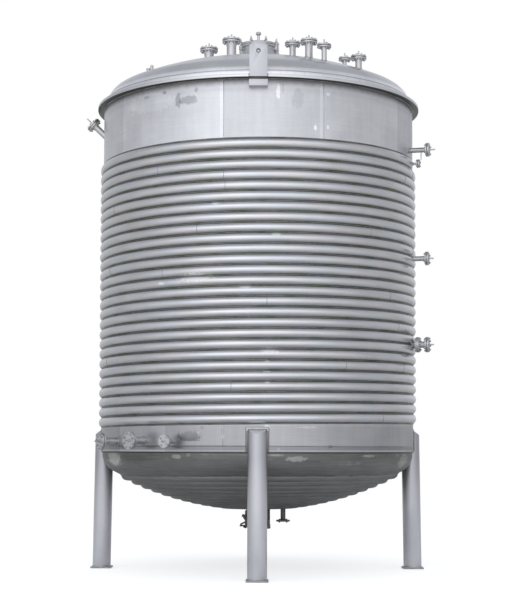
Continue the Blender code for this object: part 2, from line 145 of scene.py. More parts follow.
def around(radius: float, bearing: float, height: float) -> Vector:
    """Point at a radius, bearing and height."""
    return outward(bearing) * radius + UP * height


def aim(point: Vector, direction: Vector) -> Matrix:
    """Matrix that puts a piece made along +Z at a point, along a direction."""
    turn = UP.rotation_difference(direction)
    return Matrix.Translation(point) @ turn.to_matrix().to_4x4()


def beside(bearing: float, radius: float, height: float) -> Matrix:
    """Matrix with X along the wall, Y outwards and Z up, at a point beside the vessel."""
    turn = Matrix.Rotation(math.radians(bearing + 180.0), 4, "Z")
    return Matrix.Translation(around(radius, bearing, height)) @ turn


@dataclass(frozen=True)
class Dish:
    """Dished end, with the radii of its tangent line, its crown and its knuckle."""

    edge: float
    crown: float
    knuckle: float

    @property
    def hub(self) -> float:
        """Height of the tangent line over the crown's centre."""
        return math.sqrt((self.crown - self.knuckle) ** 2 - (self.edge - self.knuckle) ** 2)

    def line(self, bends: int, steps: int) -> Line:
        """Points from the tangent line to the middle, over that line.

        Args:
            bends: Number of steps round the knuckle.
            steps: Number of steps over the crown.

        Returns:
            Points of radius and height.
        """
        middle = self.edge - self.knuckle
        bend = math.asin(middle / (self.crown - self.knuckle))
        line = []
        for index in range(bends):
            angle = math.pi / 2.0 - (math.pi / 2.0 - bend) * index / bends
            line.append((middle + self.knuckle * math.sin(angle), self.knuckle * math.cos(angle)))
        for index in range(steps + 1):
            angle = bend * (1.0 - index / steps)
            line.append((self.crown * math.sin(angle), self.crown * math.cos(angle) - self.hub))
        return line

    def height(self, radius: float) -> float:
        """Height over the tangent line at a distance from the axis.

        Args:
            radius: The distance.

        Returns:
            The height.
        """
        middle = self.edge - self.knuckle
        if radius <= middle * self.crown / (self.crown - self.knuckle):
            return math.sqrt(self.crown ** 2 - radius ** 2) - self.hub
        return math.sqrt(max(0.0, self.knuckle ** 2 - (radius - middle) ** 2))


TOP_DISH = Dish(TOP_EDGE, 4.300, 0.250)
BOTTOM_DISH = Dish(BOTTOM_EDGE, 3.700, 0.230)


def top_height(radius: float) -> float:
    """Height of the top head's outer face at a radius."""
    return HEAD_BASE + TOP_DISH.height(radius)


def bottom_height(radius: float) -> float:
    """Height of the bottom head's outer face at a radius."""
    return BOTTOM_TANGENT - BOTTOM_DISH.height(radius)


def bottom_line() -> Line:
    """Points of the bottom head's outer face, from its tangent line to its middle."""
    return [(x, BOTTOM_TANGENT - z) for x, z in BOTTOM_DISH.line(10, 14)]


def top_normal(x: float, y: float) -> Vector:
    """Outward normal of the top head's crown over a point of the ground."""
    centre = top_height(0.0) - TOP_DISH.crown
    return Vector((x, y, top_height(math.hypot(x, y)) - centre)).normalized()


def circle_places(count: int, radius: float, height: float, first: float) -> list[Matrix]:
    """Places that stand evenly round the Z axis.

    Args:
        count: Number of places.
        radius: Their distance from the axis.
        height: Their height.
        first: Angle of the first one in degrees.

    Returns:
        A matrix for each place.
    """
    spot = Matrix.Translation((radius, 0.0, height))
    turns = [math.radians(first) + math.tau * index / count for index in range(count)]
    return [Matrix.Rotation(angle, 4, "Z") @ spot for angle in turns]


# Sections


def box_line(inner: float, outer: float, low: float, high: float) -> Line:
    """Rectangular section between two radii and two heights."""
    return [(inner, low), (outer, low), (outer, high), (inner, high)]


def edge_line(radius: float, start: float, end: float, chamfer: float = 0.002) -> Line:
    """Outer edge of a disc, with both its corners chamfered.

    Args:
        radius: Radius of the disc.
        start: Height of the face where the line starts.
        end: Height of the other face.
        chamfer: Width of the chamfers.

    Returns:
        Points of radius and height.
    """
    step = math.copysign(chamfer, end - start)
    return [(radius - chamfer, start), (radius, start + step), (radius, end - step), (radius - chamfer, end)]


def bead_line(radius: float, height: float, thickness: float) -> Line:
    """Round section of a weld bead, as a closed line of eight points."""
    angles = [math.tau * index / 8 for index in range(8)]
    return [(radius + thickness * math.cos(angle), height + thickness * math.sin(angle)) for angle in angles]


def groove_line(base: float, middle: float) -> Line:
    """Flat section of the bead in a groove between two half-pipes.

    Args:
        base: Radius of the surface under the bead.
        middle: Place of its middle across the groove.

    Returns:
        A closed line.
    """
    return [
        (base - 0.004, middle - 0.010), (base + 0.005, middle - 0.006), (base + 0.0075, middle),
        (base + 0.005, middle + 0.006), (base - 0.004, middle + 0.010),
    ]


def half_pipe_line(base: float, middle: float) -> Line:
    """Closed section of the half-pipe, standing on a wall at a radius.

    Args:
        base: Radius of the surface under it.
        middle: Place of its middle across the half-pipe.

    Returns:
        A closed line.
    """
    half = COIL_WIDTH / 2.0
    open_angle = math.asin(half / COIL_BEND)
    line = [(base - 0.003, middle - half)]
    for index in range(COIL_ARC_STEPS + 1):
        angle = open_angle * (2.0 * index / COIL_ARC_STEPS - 1.0)
        out = COIL_BEND * math.cos(angle) - COIL_BEND + COIL_RISE
        line.append((base + out, COIL_BEND * math.sin(angle) + middle))
    return line + [(base - 0.003, middle + half)]


# Modelling tools


def pick(item: Piece) -> None:
    """Select one object, make it active and let go of the rest.

    Args:
        item: Object to select.
    """
    bpy.ops.object.select_all(action="DESELECT")
    item.select_set(True)
    bpy.context.view_layer.objects.active = item


@contextmanager
def editing(item: Piece) -> Iterator[None]:
    """Open an object in edit mode with everything selected, and leave it at the end.

    Args:
        item: Object to edit.

    Returns:
        A context for the edits.
    """
    pick(item)
    bpy.ops.object.mode_set(mode="EDIT")
    bpy.ops.mesh.select_all(action="SELECT")
    yield
    bpy.ops.object.mode_set(mode="OBJECT")


def select_edges(item: Piece, test: Callable[[Vector, Vector], bool]) -> None:
    """Select the edges whose two ends pass a test, in edit mode.

    Args:
        item: Object that is edited.
        test: Takes the places of an edge's two ends.
    """
    bpy.ops.mesh.select_mode(type="EDGE")
    bpy.ops.mesh.select_all(action="DESELECT")
    mesh = bmesh.from_edit_mesh(item.data)
    for edge in mesh.edges:
        edge.select_set(test(edge.verts[0].co, edge.verts[1].co))
    bmesh.update_edit_mesh(item.data)


def added(name: str) -> Piece:
    """Name the object that an operator has just added.

    Args:
        name: Name of the object and its mesh.

    Returns:
        The object.
    """
    item = bpy.context.object
    item.name = name
    item.data.name = name
    return item


def settle(item: Piece) -> Piece:
    """Put an object's place, turn and scale in its mesh, so that it sits at the origin.

    Args:
        item: Object to settle.

    Returns:
        The same object.
    """
    pick(item)
    bpy.ops.object.transform_apply(location=True, rotation=True, scale=True)
    return item


def put(item: Piece, place: Matrix) -> Piece:
    """Move a piece by a matrix and settle it there."""
    item.matrix_world = place @ item.matrix_world
    return settle(item)


def cylinder(
    name: str, radius: float, depth: float, middle: Sequence[float], sides: int, **settings: object,
) -> Piece:
    """A plain cylinder along Z, as the start of a piece.

    Args:
        name: Name of the piece.
        radius: Its radius.
        depth: Its length.
        middle: Its middle.
        sides: Number of sides.
        **settings: Other settings of the primitive.

    Returns:
        The piece.
    """
    bpy.ops.object.select_all(action="DESELECT")
    bpy.ops.mesh.primitive_cylinder_add(
        radius=radius, depth=depth, location=middle, vertices=sides, **settings
    )
    return settle(added(name))


def torus(name: str, radius: float, thickness: float, sides: int, **settings: object) -> Piece:
    """A plain ring round Z, as the start of a bead.

    Args:
        name: Name of the piece.
        radius: Radius of the ring.
        thickness: Radius of the bead.
        sides: Number of steps round the ring.
        **settings: Other settings of the primitive.

    Returns:
        The piece.
    """
    bpy.ops.object.select_all(action="DESELECT")
    bpy.ops.mesh.primitive_torus_add(
        major_radius=radius, minor_radius=thickness, major_segments=sides, minor_segments=8, **settings
    )
    return settle(added(name))


def cuboid(name: str, low: Sequence[float], high: Sequence[float]) -> Piece:
    """A plain cuboid between two corners, as the start of a piece.

    Args:
        name: Name of the piece.
        low: Lowest corner.
        high: Highest corner.

    Returns:
        The piece.
    """
    bpy.ops.object.select_all(action="DESELECT")
    bpy.ops.mesh.primitive_cube_add(size=1.0, location=(Vector(low) + Vector(high)) / 2.0)
    item = added(name)
    item.scale = Vector(high) - Vector(low)
    return settle(item)


def with_modifier(item: Piece, kind: str, **settings: object) -> Piece:
    """Add a modifier, set it up and apply it.

    Args:
        item: Piece that is changed.
        kind: Type of modifier.
        **settings: Values of the modifier.

    Returns:
        The same piece.
    """
    modifier = item.modifiers.new(kind.lower(), kind)
    for key, value in settings.items():
        setattr(modifier, key, value)
    pick(item)
    bpy.ops.object.modifier_apply(modifier=modifier.name)
    return item


def cut(item: Piece, cutter: Piece) -> Piece:
    """Cut one solid's space out of a piece, and remove the solid.

    Args:
        item: Piece that is cut.
        cutter: Solid whose space is cut out.

    Returns:
        The same piece.
    """
    with_modifier(item, "BOOLEAN", operation="DIFFERENCE", solver="EXACT", object=cutter)
    bpy.data.objects.remove(cutter, do_unlink=True)
    return item


def soften(item: Piece, width: float, angle: float = 35.0) -> Piece:
    """Round a piece's sharp edges.

    Args:
        item: Piece to soften.
        width: Width of the rounded edge.
        angle: Angle in degrees from which an edge is sharp.

    Returns:
        The same piece.
    """
    return with_modifier(
        item, "BEVEL", width=width, segments=2, limit_method="ANGLE", angle_limit=math.radians(angle)
    )


def smooth(item: Piece, angle: float = 35.0) -> Piece:
    """Shade a piece smooth, apart from its sharp edges.

    Args:
        item: Piece to shade.
        angle: Angle in degrees from which an edge stays sharp.

    Returns:
        The same piece.
    """
    pick(item)
    bpy.ops.object.shade_smooth_by_angle(angle=math.radians(angle))
    return item


def draw_line(name: str, line: Line, closed: bool = False) -> Piece:
    """Draw a line by extruding one point from place to place.

    Args:
        name: Name of the new object.
        line: Points of radius and height, in the XZ plane.
        closed: Whether the line returns to its first point.

    Returns:
        An object of edges.
    """
    points = [Vector((x, 0.0, z)) for x, z in line]
    if closed:
        points.append(points[0])
    bpy.ops.object.select_all(action="DESELECT")
    bpy.ops.mesh.primitive_plane_add(size=SEED_SIZE)
    item = added(name)
    with editing(item):
        bpy.ops.mesh.select_mode(type="VERT")
        bpy.ops.mesh.merge(type="CENTER")
        bpy.ops.transform.translate(value=points[0])
        for start, end in pairwise(points):
            bpy.ops.mesh.extrude_vertices_move(TRANSFORM_OT_translate={"value": end - start})
        bpy.ops.mesh.select_all(action="SELECT")
        bpy.ops.mesh.remove_doubles(threshold=MERGE)
    return item


def clean(item: Piece, fill: bool = False) -> Piece:
    """Merge doubles, close the open ends if asked, and point the faces outwards.

    Args:
        item: Piece to clean.
        fill: Whether open ends are closed.

    Returns:
        The same piece.
    """
    with editing(item):
        bpy.ops.mesh.select_mode(type="VERT")
        bpy.ops.mesh.remove_doubles(threshold=MERGE)
        if fill:
            bpy.ops.mesh.fill_holes(sides=0)
            bpy.ops.mesh.select_all(action="SELECT")
        bpy.ops.mesh.normals_make_consistent(inside=False)
    return item


def turn(name: str, line: Line, steps: int, closed: bool = False) -> Piece:
    """Turn a line all the way round the Z axis.

    Args:
        name: Name of the new piece.
        line: Points of radius and height. An open line starts and ends on the axis, unless the
            piece gets its wall later.
        steps: Number of sides.
        closed: Whether the line is a closed section.

    Returns:
        The turned piece.
    """
    item = draw_line(name, line, closed)
    with editing(item):
        bpy.ops.mesh.spin(steps=steps, angle=math.tau, center=(0, 0, 0), axis=(0, 0, 1))
    return clean(item)


def sweep(name: str, line: Line, bearing: float, degrees: float, steps: int, climb: float = 0.0) -> Piece:
    """Sweep a closed section round the axis from a bearing, and close its ends.

    Args:
        name: Name of the new piece.
        line: Section points of radius and height.
        bearing: Bearing at which the sweep starts.
        degrees: Angle of the whole sweep.
        steps: Number of steps in it.
        climb: Height gained over the whole sweep.

    Returns:
        The swept piece.
    """
    item = draw_line(name, line, closed=True)
    with_modifier(
        item, "SCREW", axis="Z", angle=math.radians(degrees), screw_offset=climb, iterations=1,
        steps=steps, render_steps=steps, use_merge_vertices=False,
    )
    clean(item, fill=True)
    return put(item, Matrix.Rotation(math.radians(bearing - 90.0), 4, "Z"))


def rod(name: str, start: Sequence[float], end: Sequence[float], radius: float, sides: int = 16) -> Piece:
    """A round bar between two points, with chamfered ends.

    Args:
        name: Name of the piece.
        start: Middle of one end.
        end: Middle of the other end.
        radius: Radius of the bar.
        sides: Number of sides.

    Returns:
        The piece.
    """
    way = Vector(end) - Vector(start)
    line = [(0.0, 0.0), *edge_line(radius, 0.0, way.length, radius * 0.25), (0.0, way.length)]
    return put(turn(name, line, sides), aim(Vector(start), way.normalized()))


def block(name: str, low: Sequence[float], high: Sequence[float], edge: float) -> Piece:
    """A machined block between two corners, with softened edges.

    Args:
        name: Name of the piece.
        low: Lowest corner.
        high: Highest corner.
        edge: Width of the softened edges.

    Returns:
        The piece.
    """
    return soften(cuboid(name, low, high), edge)


def joined(items: Sequence[Piece], name: str) -> Piece:
    """Join pieces into one.

    Args:
        items: Pieces to join. They are used up.
        name: Name of the new piece.

    Returns:
        The piece.
    """
    bpy.ops.object.select_all(action="DESELECT")
    for item in items:
        item.select_set(True)
    bpy.context.view_layer.objects.active = items[0]
    if len(items) > 1:
        bpy.ops.object.join()
    return settle(added(name))


def repeated(item: Piece, places: Iterable[Matrix], name: str) -> Piece:
    """Copy a piece to each place, each copy with its own mesh, and join the copies.

    Args:
        item: The piece that was modelled once. It is used up.
        places: Matrices of the copies.
        name: Name of the joined piece.

    Returns:
        The joined piece.
    """
    copies = []
    for place in places:
        twin = item.copy()
        twin.data = item.data.copy()
        bpy.context.scene.collection.objects.link(twin)
        twin.matrix_world = place
        copies.append(twin)
    bpy.data.objects.remove(item, do_unlink=True)
    bpy.context.view_layer.update()
    return joined(copies, name)


def roughen(item: Piece, offset: float, seed: int) -> Piece:
    """Move a bead's points a little, as a hand-laid weld has it.

    Args:
        item: The bead.
        offset: How far a point moves at most.
        seed: Seed of the random moves.

    Returns:
        The same piece.
    """
    with editing(item):
        bpy.ops.transform.vertex_random(offset=offset, uniform=1.0, normal=0.0, seed=seed)
    return item


def bead_ring(name: str, radius: float, thickness: float, place: Matrix, sides: int = 40) -> Piece:
    """A weld bead round a pipe or a rim, at a place.

    Args:
        name: Name of the piece.
        radius: Radius of the ring.
        thickness: Radius of the bead.
        place: Matrix that puts the ring in its place.
        sides: Number of steps round the ring.

    Returns:
        The piece.
    """
    item = roughen(torus(name, radius, thickness, sides), thickness * 0.12, seed=sides)
    return smooth(put(item, place), 80.0)


# Finishes


class Graph:
    """A node tree while it is put together."""

    def __init__(self, tree: bpy.types.NodeTree, coordinates: str) -> None:
        """Start from a tree.

        Args:
            tree: Node tree of a material or of the world.
            coordinates: Kind of coordinates that its patterns read.
        """
        self.tree = tree
        self.place = self.node("ShaderNodeTexCoord").outputs[coordinates]

    def node(
        self, kind: str, inputs: dict[str | int, object] | None = None, **settings: object,
    ) -> bpy.types.Node:
        """Add a node, set its properties and feed its inputs.

        Args:
            kind: Blender's name of the node.
            inputs: A link or a plain value for each input, by the input's name or number.
            **settings: Properties of the node.

        Returns:
            The node.
        """
        made = self.tree.nodes.new(kind)
        for key, value in settings.items():
            setattr(made, key, value)
        for key, value in (inputs or {}).items():
            self.feed(made.inputs[key], value)
        return made

    def feed(self, socket: Socket, value: object) -> None:
        """Link a socket to another, or give it a plain value.

        Args:
            socket: Input of a node.
            value: An output of another node, or a plain value.
        """
        if isinstance(value, Socket):
            self.tree.links.new(value, socket)
        else:
            socket.default_value = value

    def scaled(self, scale: Triple) -> Socket:
        """Coordinates stretched by a factor along each axis."""
        return self.node("ShaderNodeMapping", {"Vector": self.place, "Scale": scale}).outputs["Vector"]

    def noise(
        self, scale: float, stretch: Triple = (1.0, 1.0, 1.0),
        detail: float = 3.0, rough: float = 0.55,
    ) -> Socket:
        """Noise value at a scale, in features per metre, over stretched coordinates.

        Args:
            scale: Features for each metre.
            stretch: Factor of the coordinates along each axis.
            detail: Number of finer layers.
            rough: Weight of the finer layers.

        Returns:
            Value output.
        """
        inputs = {"Vector": self.scaled(stretch), "Scale": scale, "Detail": detail, "Roughness": rough}
        return self.node("ShaderNodeTexNoise", inputs).outputs["Fac"]

    def spread(
        self, value: object, low: float, high: float, to_low: float, to_high: float,
        smooth_ends: bool = False,
    ) -> Socket:
        """Map a value's range to another, clamped.

        Args:
            value: Value to map.
            low: Where the range starts.
            high: Where it ends.
            to_low: Result at its start.
            to_high: Result at its end.
            smooth_ends: Whether the ends ease in and out.

        Returns:
            Value output.
        """
        inputs = {"Value": value, "From Min": low, "From Max": high, "To Min": to_low, "To Max": to_high}
        kind = "SMOOTHSTEP" if smooth_ends else "LINEAR"
        return self.node("ShaderNodeMapRange", inputs, interpolation_type=kind).outputs["Result"]

    def drift(self, noise: object, least: float, most: float) -> Socket:
        """Level that follows a noise, between two values."""
        return self.spread(noise, 0.3, 0.7, least, most)

    def where(self, mask: object, level: object, gain: float) -> Socket:
        """A level times a gain where a mask is 1."""
        return self.product(level, self.spread(mask, 0.0, 1.0, 1.0, gain))

    def maths(self, operation: str, first: object, second: object = 0.0) -> Socket:
        """Result of one of Blender's operations on two numbers."""
        return self.node("ShaderNodeMath", {0: first, 1: second}, operation=operation).outputs["Value"]

    def product(self, *values: object) -> Socket:
        """Product of several numbers."""
        return reduce(lambda first, second: self.maths("MULTIPLY", first, second), values)

    def total(self, *values: object) -> Socket:
        """Sum of several numbers."""
        return reduce(lambda first, second: self.maths("ADD", first, second), values)

    def largest(self, *values: object) -> Socket:
        """Largest of several numbers."""
        return reduce(lambda first, second: self.maths("MAXIMUM", first, second), values)

    def part(self, axis: str) -> Socket:
        """Coordinate X, Y or Z of the point that is shaded."""
        return self.node("ShaderNodeSeparateXYZ", {"Vector": self.place}).outputs[axis]

    def from_axis(self) -> Socket:
        """Distance of the point that is shaded from the vessel's axis."""
        x, y = self.part("X"), self.part("Y")
        return self.maths("SQRT", self.total(self.product(x, x), self.product(y, y)))

    def blend(self, factor: object, *colours: object) -> Socket:
        """Mix of two colours, by the share of the second one."""
        first, second = ((*one, 1.0) if isinstance(one, tuple) else one for one in colours)
        return self.node("ShaderNodeMix", {0: factor, 6: first, 7: second}, data_type="RGBA").outputs[2]

    def shaded(self, colour: object, level: object) -> Socket:
        """A colour made darker or brighter by a level."""
        made = self.node("ShaderNodeVectorMath", {0: colour, "Scale": level}, operation="SCALE")
        return made.outputs["Vector"]

    def vector(self, operation: str, *vectors: object, output: str = "Vector") -> Socket:
        """Result of one of Blender's operations on vectors."""
        made = self.node("ShaderNodeVectorMath", dict(enumerate(vectors)), operation=operation)
        return made.outputs[output]

    def lobe(self, bearing: float, power: float) -> Socket:
        """Soft glow round a bearing, from 0 behind it to 1 at it.

        Args:
            bearing: Bearing of the glow's middle.
            power: How narrow the glow is.

        Returns:
            Value output.
        """
        flat = self.vector("NORMALIZE", self.vector("MULTIPLY", self.place, (1.0, 1.0, 0.0)))
        dot = self.vector("DOT_PRODUCT", flat, outward(bearing), output="Value")
        return self.maths("POWER", self.spread(dot, -0.6, 1.0, 0.0, 1.0), power)

    def bearing(self) -> Socket:
        """Bearing in degrees of the point that is shaded, from -180 to 180."""
        angle = self.maths("ARCTAN2", self.part("X"), self.product(self.part("Y"), -1.0))
        return self.product(angle, math.degrees(1.0))

    def camera_ray(self) -> Socket:
        """1 for rays that come from the camera and 0 for the rest."""
        return self.node("ShaderNodeLightPath").outputs["Is Camera Ray"]

    def facing_up(self) -> Socket:
        """How far the surface faces upwards, from -1 to 1."""
        normal = self.node("ShaderNodeNewGeometry").outputs["True Normal"]
        return self.node("ShaderNodeSeparateXYZ", {"Vector": normal}).outputs["Z"]

    def patch(self, mark: "Mark", wobble: object, fray: float = 1.6, soft: float = 0.18) -> Socket:
        """Mask of an oval mark on the wall, with ragged edges.

        Args:
            mark: Place and size of the mark.
            wobble: Value round 0.5 that frays the edge.
            fray: How far it frays the edge, as a share of the mark's size.
            soft: How softly the edge fades, as a share of the mark's size.

        Returns:
            A value of 1 inside the mark and 0 outside.
        """
        inputs = {
            "Vector": self.place, "Location": around(SHELL_RADIUS, mark.bearing, mark.height),
            "Rotation": (0.0, 0.0, math.radians(mark.bearing)),
            "Scale": (mark.half_width, 0.30, mark.half_height),
        }
        local = self.node("ShaderNodeMapping", inputs, vector_type="TEXTURE").outputs["Vector"]
        ragged = self.product(self.maths("SUBTRACT", wobble, 0.5), fray)
        reach = self.total(self.vector("LENGTH", local, output="Value"), ragged)
        return self.spread(reach, 1.0 - soft, 1.0 + soft, 1.0, 0.0, True)


class Recipe(Graph):
    """A material while it is put together."""

    def __init__(self, name: str, metallic: float, roughness: float) -> None:
        """Start from a plain shader.

        Args:
            name: Name of the material.
            metallic: 1 for metals and 0 for the rest.
            roughness: Roughness where nothing drives it.
        """
        self.material = bpy.data.materials.new(name)
        self.material.use_nodes = True
        super().__init__(self.material.node_tree, "Object")
        self.shader = self.tree.nodes["Principled BSDF"]
        self.shader.inputs["Metallic"].default_value = metallic
        self.shader.inputs["Roughness"].default_value = roughness

    def bumped(self, height: object, distance: float) -> None:
        """Stack a bump of a given real height on the shader.

        Args:
            height: Pattern of the bump.
            distance: Height of the bump.
        """
        inputs = {"Distance": distance, "Height": height}
        normal = self.shader.inputs["Normal"]
        if normal.is_linked:
            inputs["Normal"] = normal.links[0].from_socket
        self.feed(normal, self.node("ShaderNodeBump", inputs).outputs["Normal"])

    def colour(self, value: object) -> None:
        """Drive the base colour."""
        self.feed(self.shader.inputs["Base Color"], value)

    def roughness(self, value: object) -> None:
        """Drive the roughness."""
        self.feed(self.shader.inputs["Roughness"], value)


@dataclass(frozen=True)
class Mark:
    """A patch made darker or brighter by a gain: stains, scrapes and ground spots, and on the upper wall a
    few painted glints.
    """

    bearing: float
    height: float
    half_width: float
    half_height: float
    gain: float = 1.0


# The small bright marks at bearings 6.7, 19.7, 24.4 and 24.5 on the upper band are painted glints and
# streaks of reflected light.
WALL_MARKS = (
    Mark(-28.5, 5.385, 0.036, 0.086, 0.66), Mark(-24.5, 5.377, 0.112, 0.048, 0.68),
    Mark(-34.2, 5.497, 0.030, 0.018, 0.62), Mark(-21.7, 5.485, 0.024, 0.027, 0.72),
    Mark(-42.6, 5.478, 0.047, 0.015, 0.75), Mark(6.7, 5.437, 0.022, 0.078, 1.35),
    Mark(8.3, 5.479, 0.014, 0.050, 0.85), Mark(13.5, 5.379, 0.069, 0.106, 0.88),
    Mark(19.7, 5.052, 0.015, 0.028, 1.50), Mark(24.5, 5.448, 0.027, 0.018, 1.30),
    Mark(24.4, 5.071, 0.015, 0.023, 1.40), Mark(-41.0, 5.410, 0.380, 0.110, 1.12),
    Mark(-23.8, 1.594, 0.140, 0.053, 0.68),
    Mark(-27.8, 1.594, 0.016, 0.039, 0.85), Mark(-18.9, 1.688, 0.023, 0.013, 0.80),
    Mark(-11.8, 1.650, 0.018, 0.039, 0.85), Mark(-11.6, 1.581, 0.018, 0.020, 1.20),
    Mark(25.3, 1.481, 0.030, 0.016, 0.62), Mark(16.9, 1.693, 0.127, 0.011, 1.22),
    Mark(3.2, 1.700, 0.029, 0.024, 1.35), Mark(6.9, 1.450, 0.024, 0.017, 1.20),
)
UNDER_MARKS = (
    Mark(-63.5, 1.329, 0.190, 0.075, 2.30), Mark(-50.0, 1.344, 0.205, 0.057, 0.86),
    Mark(-28.7, 1.362, 0.062, 0.022, 1.90), Mark(-24.0, 1.381, 0.029, 0.020, 1.50),
    Mark(13.3, 1.343, 0.111, 0.027, 2.20), Mark(6.4, 1.384, 0.083, 0.011, 1.70),
    Mark(42.4, 1.376, 0.107, 0.014, 1.80), Mark(66.3, 1.314, 0.146, 0.088, 1.70),
    Mark(59.6, 1.380, 0.046, 0.026, 1.30), Mark(18.7, 1.313, 0.105, 0.010, 0.80),
    Mark(150.0, 1.350, 0.120, 0.040, 1.45), Mark(-140.0, 1.330, 0.090, 0.030, 1.35),
)


class Finish:
    """A finish of the tank. Each kind says how its material is painted."""

    metallic: float = 1.0
    rough: float = 0.40

    def make(self, name: str) -> Material:
        """Build the material.

        Args:
            name: Name of the material.

        Returns:
            The material.
        """
        kit = Recipe(name, self.metallic, self.rough)
        self.paint(kit)
        return kit.material


@dataclass(frozen=True)
class RolledPlate(Finish):
    """Mill-finished stainless plate: rolling lines, cloudy dullness, ground seams and stains, with painted
    shade and painted highlights laid over them.
    """

    tint: Colour = (0.60, 0.60, 0.62)
    rough: float = 0.40
    upper_plates: Ramps = ()
    lower_plates: Ramps = ()
    ground: tuple[float, ...] = ()
    seam_width: float = 0.020
    marks: tuple[Mark, ...] = ()
    # Height band under which a painted highlight raises the level, and its gain.
    polished: Triple = (9.0, 9.1, 1.0)

    def plates(self, kit: Recipe, ramps: Ramps) -> object:
        """Level that steps from plate to plate, with painted light and shade drifting along a plate.

        Args:
            kit: Recipe of the material.
            ramps: Bearings where the level starts and ends to change, and its factor.

        Returns:
            The level.
        """
        bearing = kit.bearing()
        level: object = 1.0
        for first, last, step in ramps:
            level = kit.product(level, kit.spread(bearing, first, last, 1.0, step))
        return level

    def shades(self, kit: Recipe, drips: object) -> Socket:
        """Level that changes with height: painted shade under the rim and on the low band, and on the lower
        strip a painted highlight under a painted shade line.

        Args:
            kit: Recipe of the material.
            drips: Pattern that makes the shades' edges wavy.

        Returns:
            The level.
        """
        height = kit.part("Z")
        wavy = kit.total(height, kit.product(drips, 0.04))
        # Painted shade on the wall under the rim's overhang, with wavy edges.
        under_rim = kit.product(
            kit.spread(wavy, RIM_LOW - 0.075, RIM_LOW + 0.006, 1.0, 0.40, True),
            kit.spread(wavy, RIM_LOW - 0.150, RIM_LOW - 0.090, 1.0, 0.90, True),
        )
        above_rim = kit.spread(height, RIM_LOW + 0.002, RIM_LOW + 0.006, 0.0, 1.0)
        # Painted shade: the wall below 1.7 m darker than above 1.8 m.
        low_band = kit.spread(height, 1.70, 1.80, 0.65, 1.0)
        # Painted highlight at the foot of the lower strip, fading to painted shade at its top, and a painted
        # shade line in the crease at its upper edge, darkest from the front leftwards.
        lip = kit.spread(height, SHELL_BOTTOM + 0.018, SHELL_BOTTOM + 0.028, 1.18, 0.68)
        above_lip = kit.largest(lip, kit.spread(height, LIP_HIGH - 0.002, LIP_HIGH, 0.0, 1.0))
        groove = kit.total(kit.spread(height, LIP_HIGH - 0.012, LIP_HIGH - 0.006, 1.0, 0.0),
                           kit.spread(height, LIP_HIGH + 0.006, LIP_HIGH + 0.012, 0.0, 1.0))
        deep = kit.spread(kit.bearing(), -2.0, 12.0, 0.62, 0.88)
        line = kit.spread(groove, 0.0, 1.0, deep, 1.0)
        return kit.product(kit.largest(under_rim, above_rim), low_band, above_lip, line)

    def paint(self, kit: Recipe) -> None:
        """Lay the finish on a plain shader.

        Args:
            kit: Recipe of the material.
        """
        cloud = kit.noise(1.7, (1.0, 1.0, 1.5), detail=5.0, rough=0.6)
        rolling = kit.noise(9.0, (0.25, 0.25, 9.0), detail=4.0)
        drips = kit.noise(5.0, (3.0, 3.0, 0.35))
        grain = kit.noise(160.0, detail=2.0)
        # Painted shade: faces that point downwards, such as the rim's underside, are made darker.
        facing = kit.spread(kit.facing_up(), -0.9, -0.3, 0.34, 1.0)
        plates = kit.spread(kit.part("Z"), 3.0, 3.1, self.plates(kit, self.lower_plates),
                            self.plates(kit, self.upper_plates))
        # Painted highlight: under a given height the level is raised, which on the top head brightens its
        # lowest band.
        low, high, gain = self.polished
        rubbed = kit.spread(kit.part("Z"), low, high, gain, 1.0, True)
        level = kit.product(
            plates, kit.drift(cloud, 0.88, 1.06), kit.drift(rolling, 0.96, 1.03),
            kit.drift(drips, 0.96, 1.03), facing, rubbed, self.shades(kit, drips),
        )
        fray = kit.noise(30.0, detail=4.0, rough=0.6)
        dull = kit.drift(cloud, self.rough - 0.05, self.rough + 0.07)
        for mark in self.marks:
            mask = kit.patch(mark, fray)
            level = kit.where(mask, level, mark.gain)
        for bearing in self.ground:
            mask = kit.patch(Mark(bearing, 5.25, self.seam_width, 0.60), fray, 1.2)
            level = kit.where(mask, level, 1.14)
        tint = kit.blend(kit.spread(drips, 0.45, 0.75, 0.0, 0.5), self.tint, (0.60, 0.60, 0.59))
        kit.colour(kit.shaded(tint, level))
        kit.roughness(dull)
        kit.bumped(kit.noise(2.2, (1.0, 1.0, 1.4), detail=1.0), 0.006)
        kit.bumped(rolling, 0.00015)
        kit.bumped(grain, 0.0001)


COIL_RUBS = (
    Mark(4.1, 2.534, 0.099, 0.033), Mark(-21.2, 3.360, 0.190, 0.046),
    Mark(6.0, 3.836, 0.047, 0.018), Mark(-4.3, 3.245, 0.070, 0.014),
    Mark(-34.3, 3.311, 0.041, 0.016), Mark(-14.3, 4.183, 0.045, 0.014),
    Mark(3.2, 2.422, 0.029, 0.012), Mark(3.2, 2.309, 0.044, 0.013),
    Mark(3.3, 2.188, 0.029, 0.014),
)


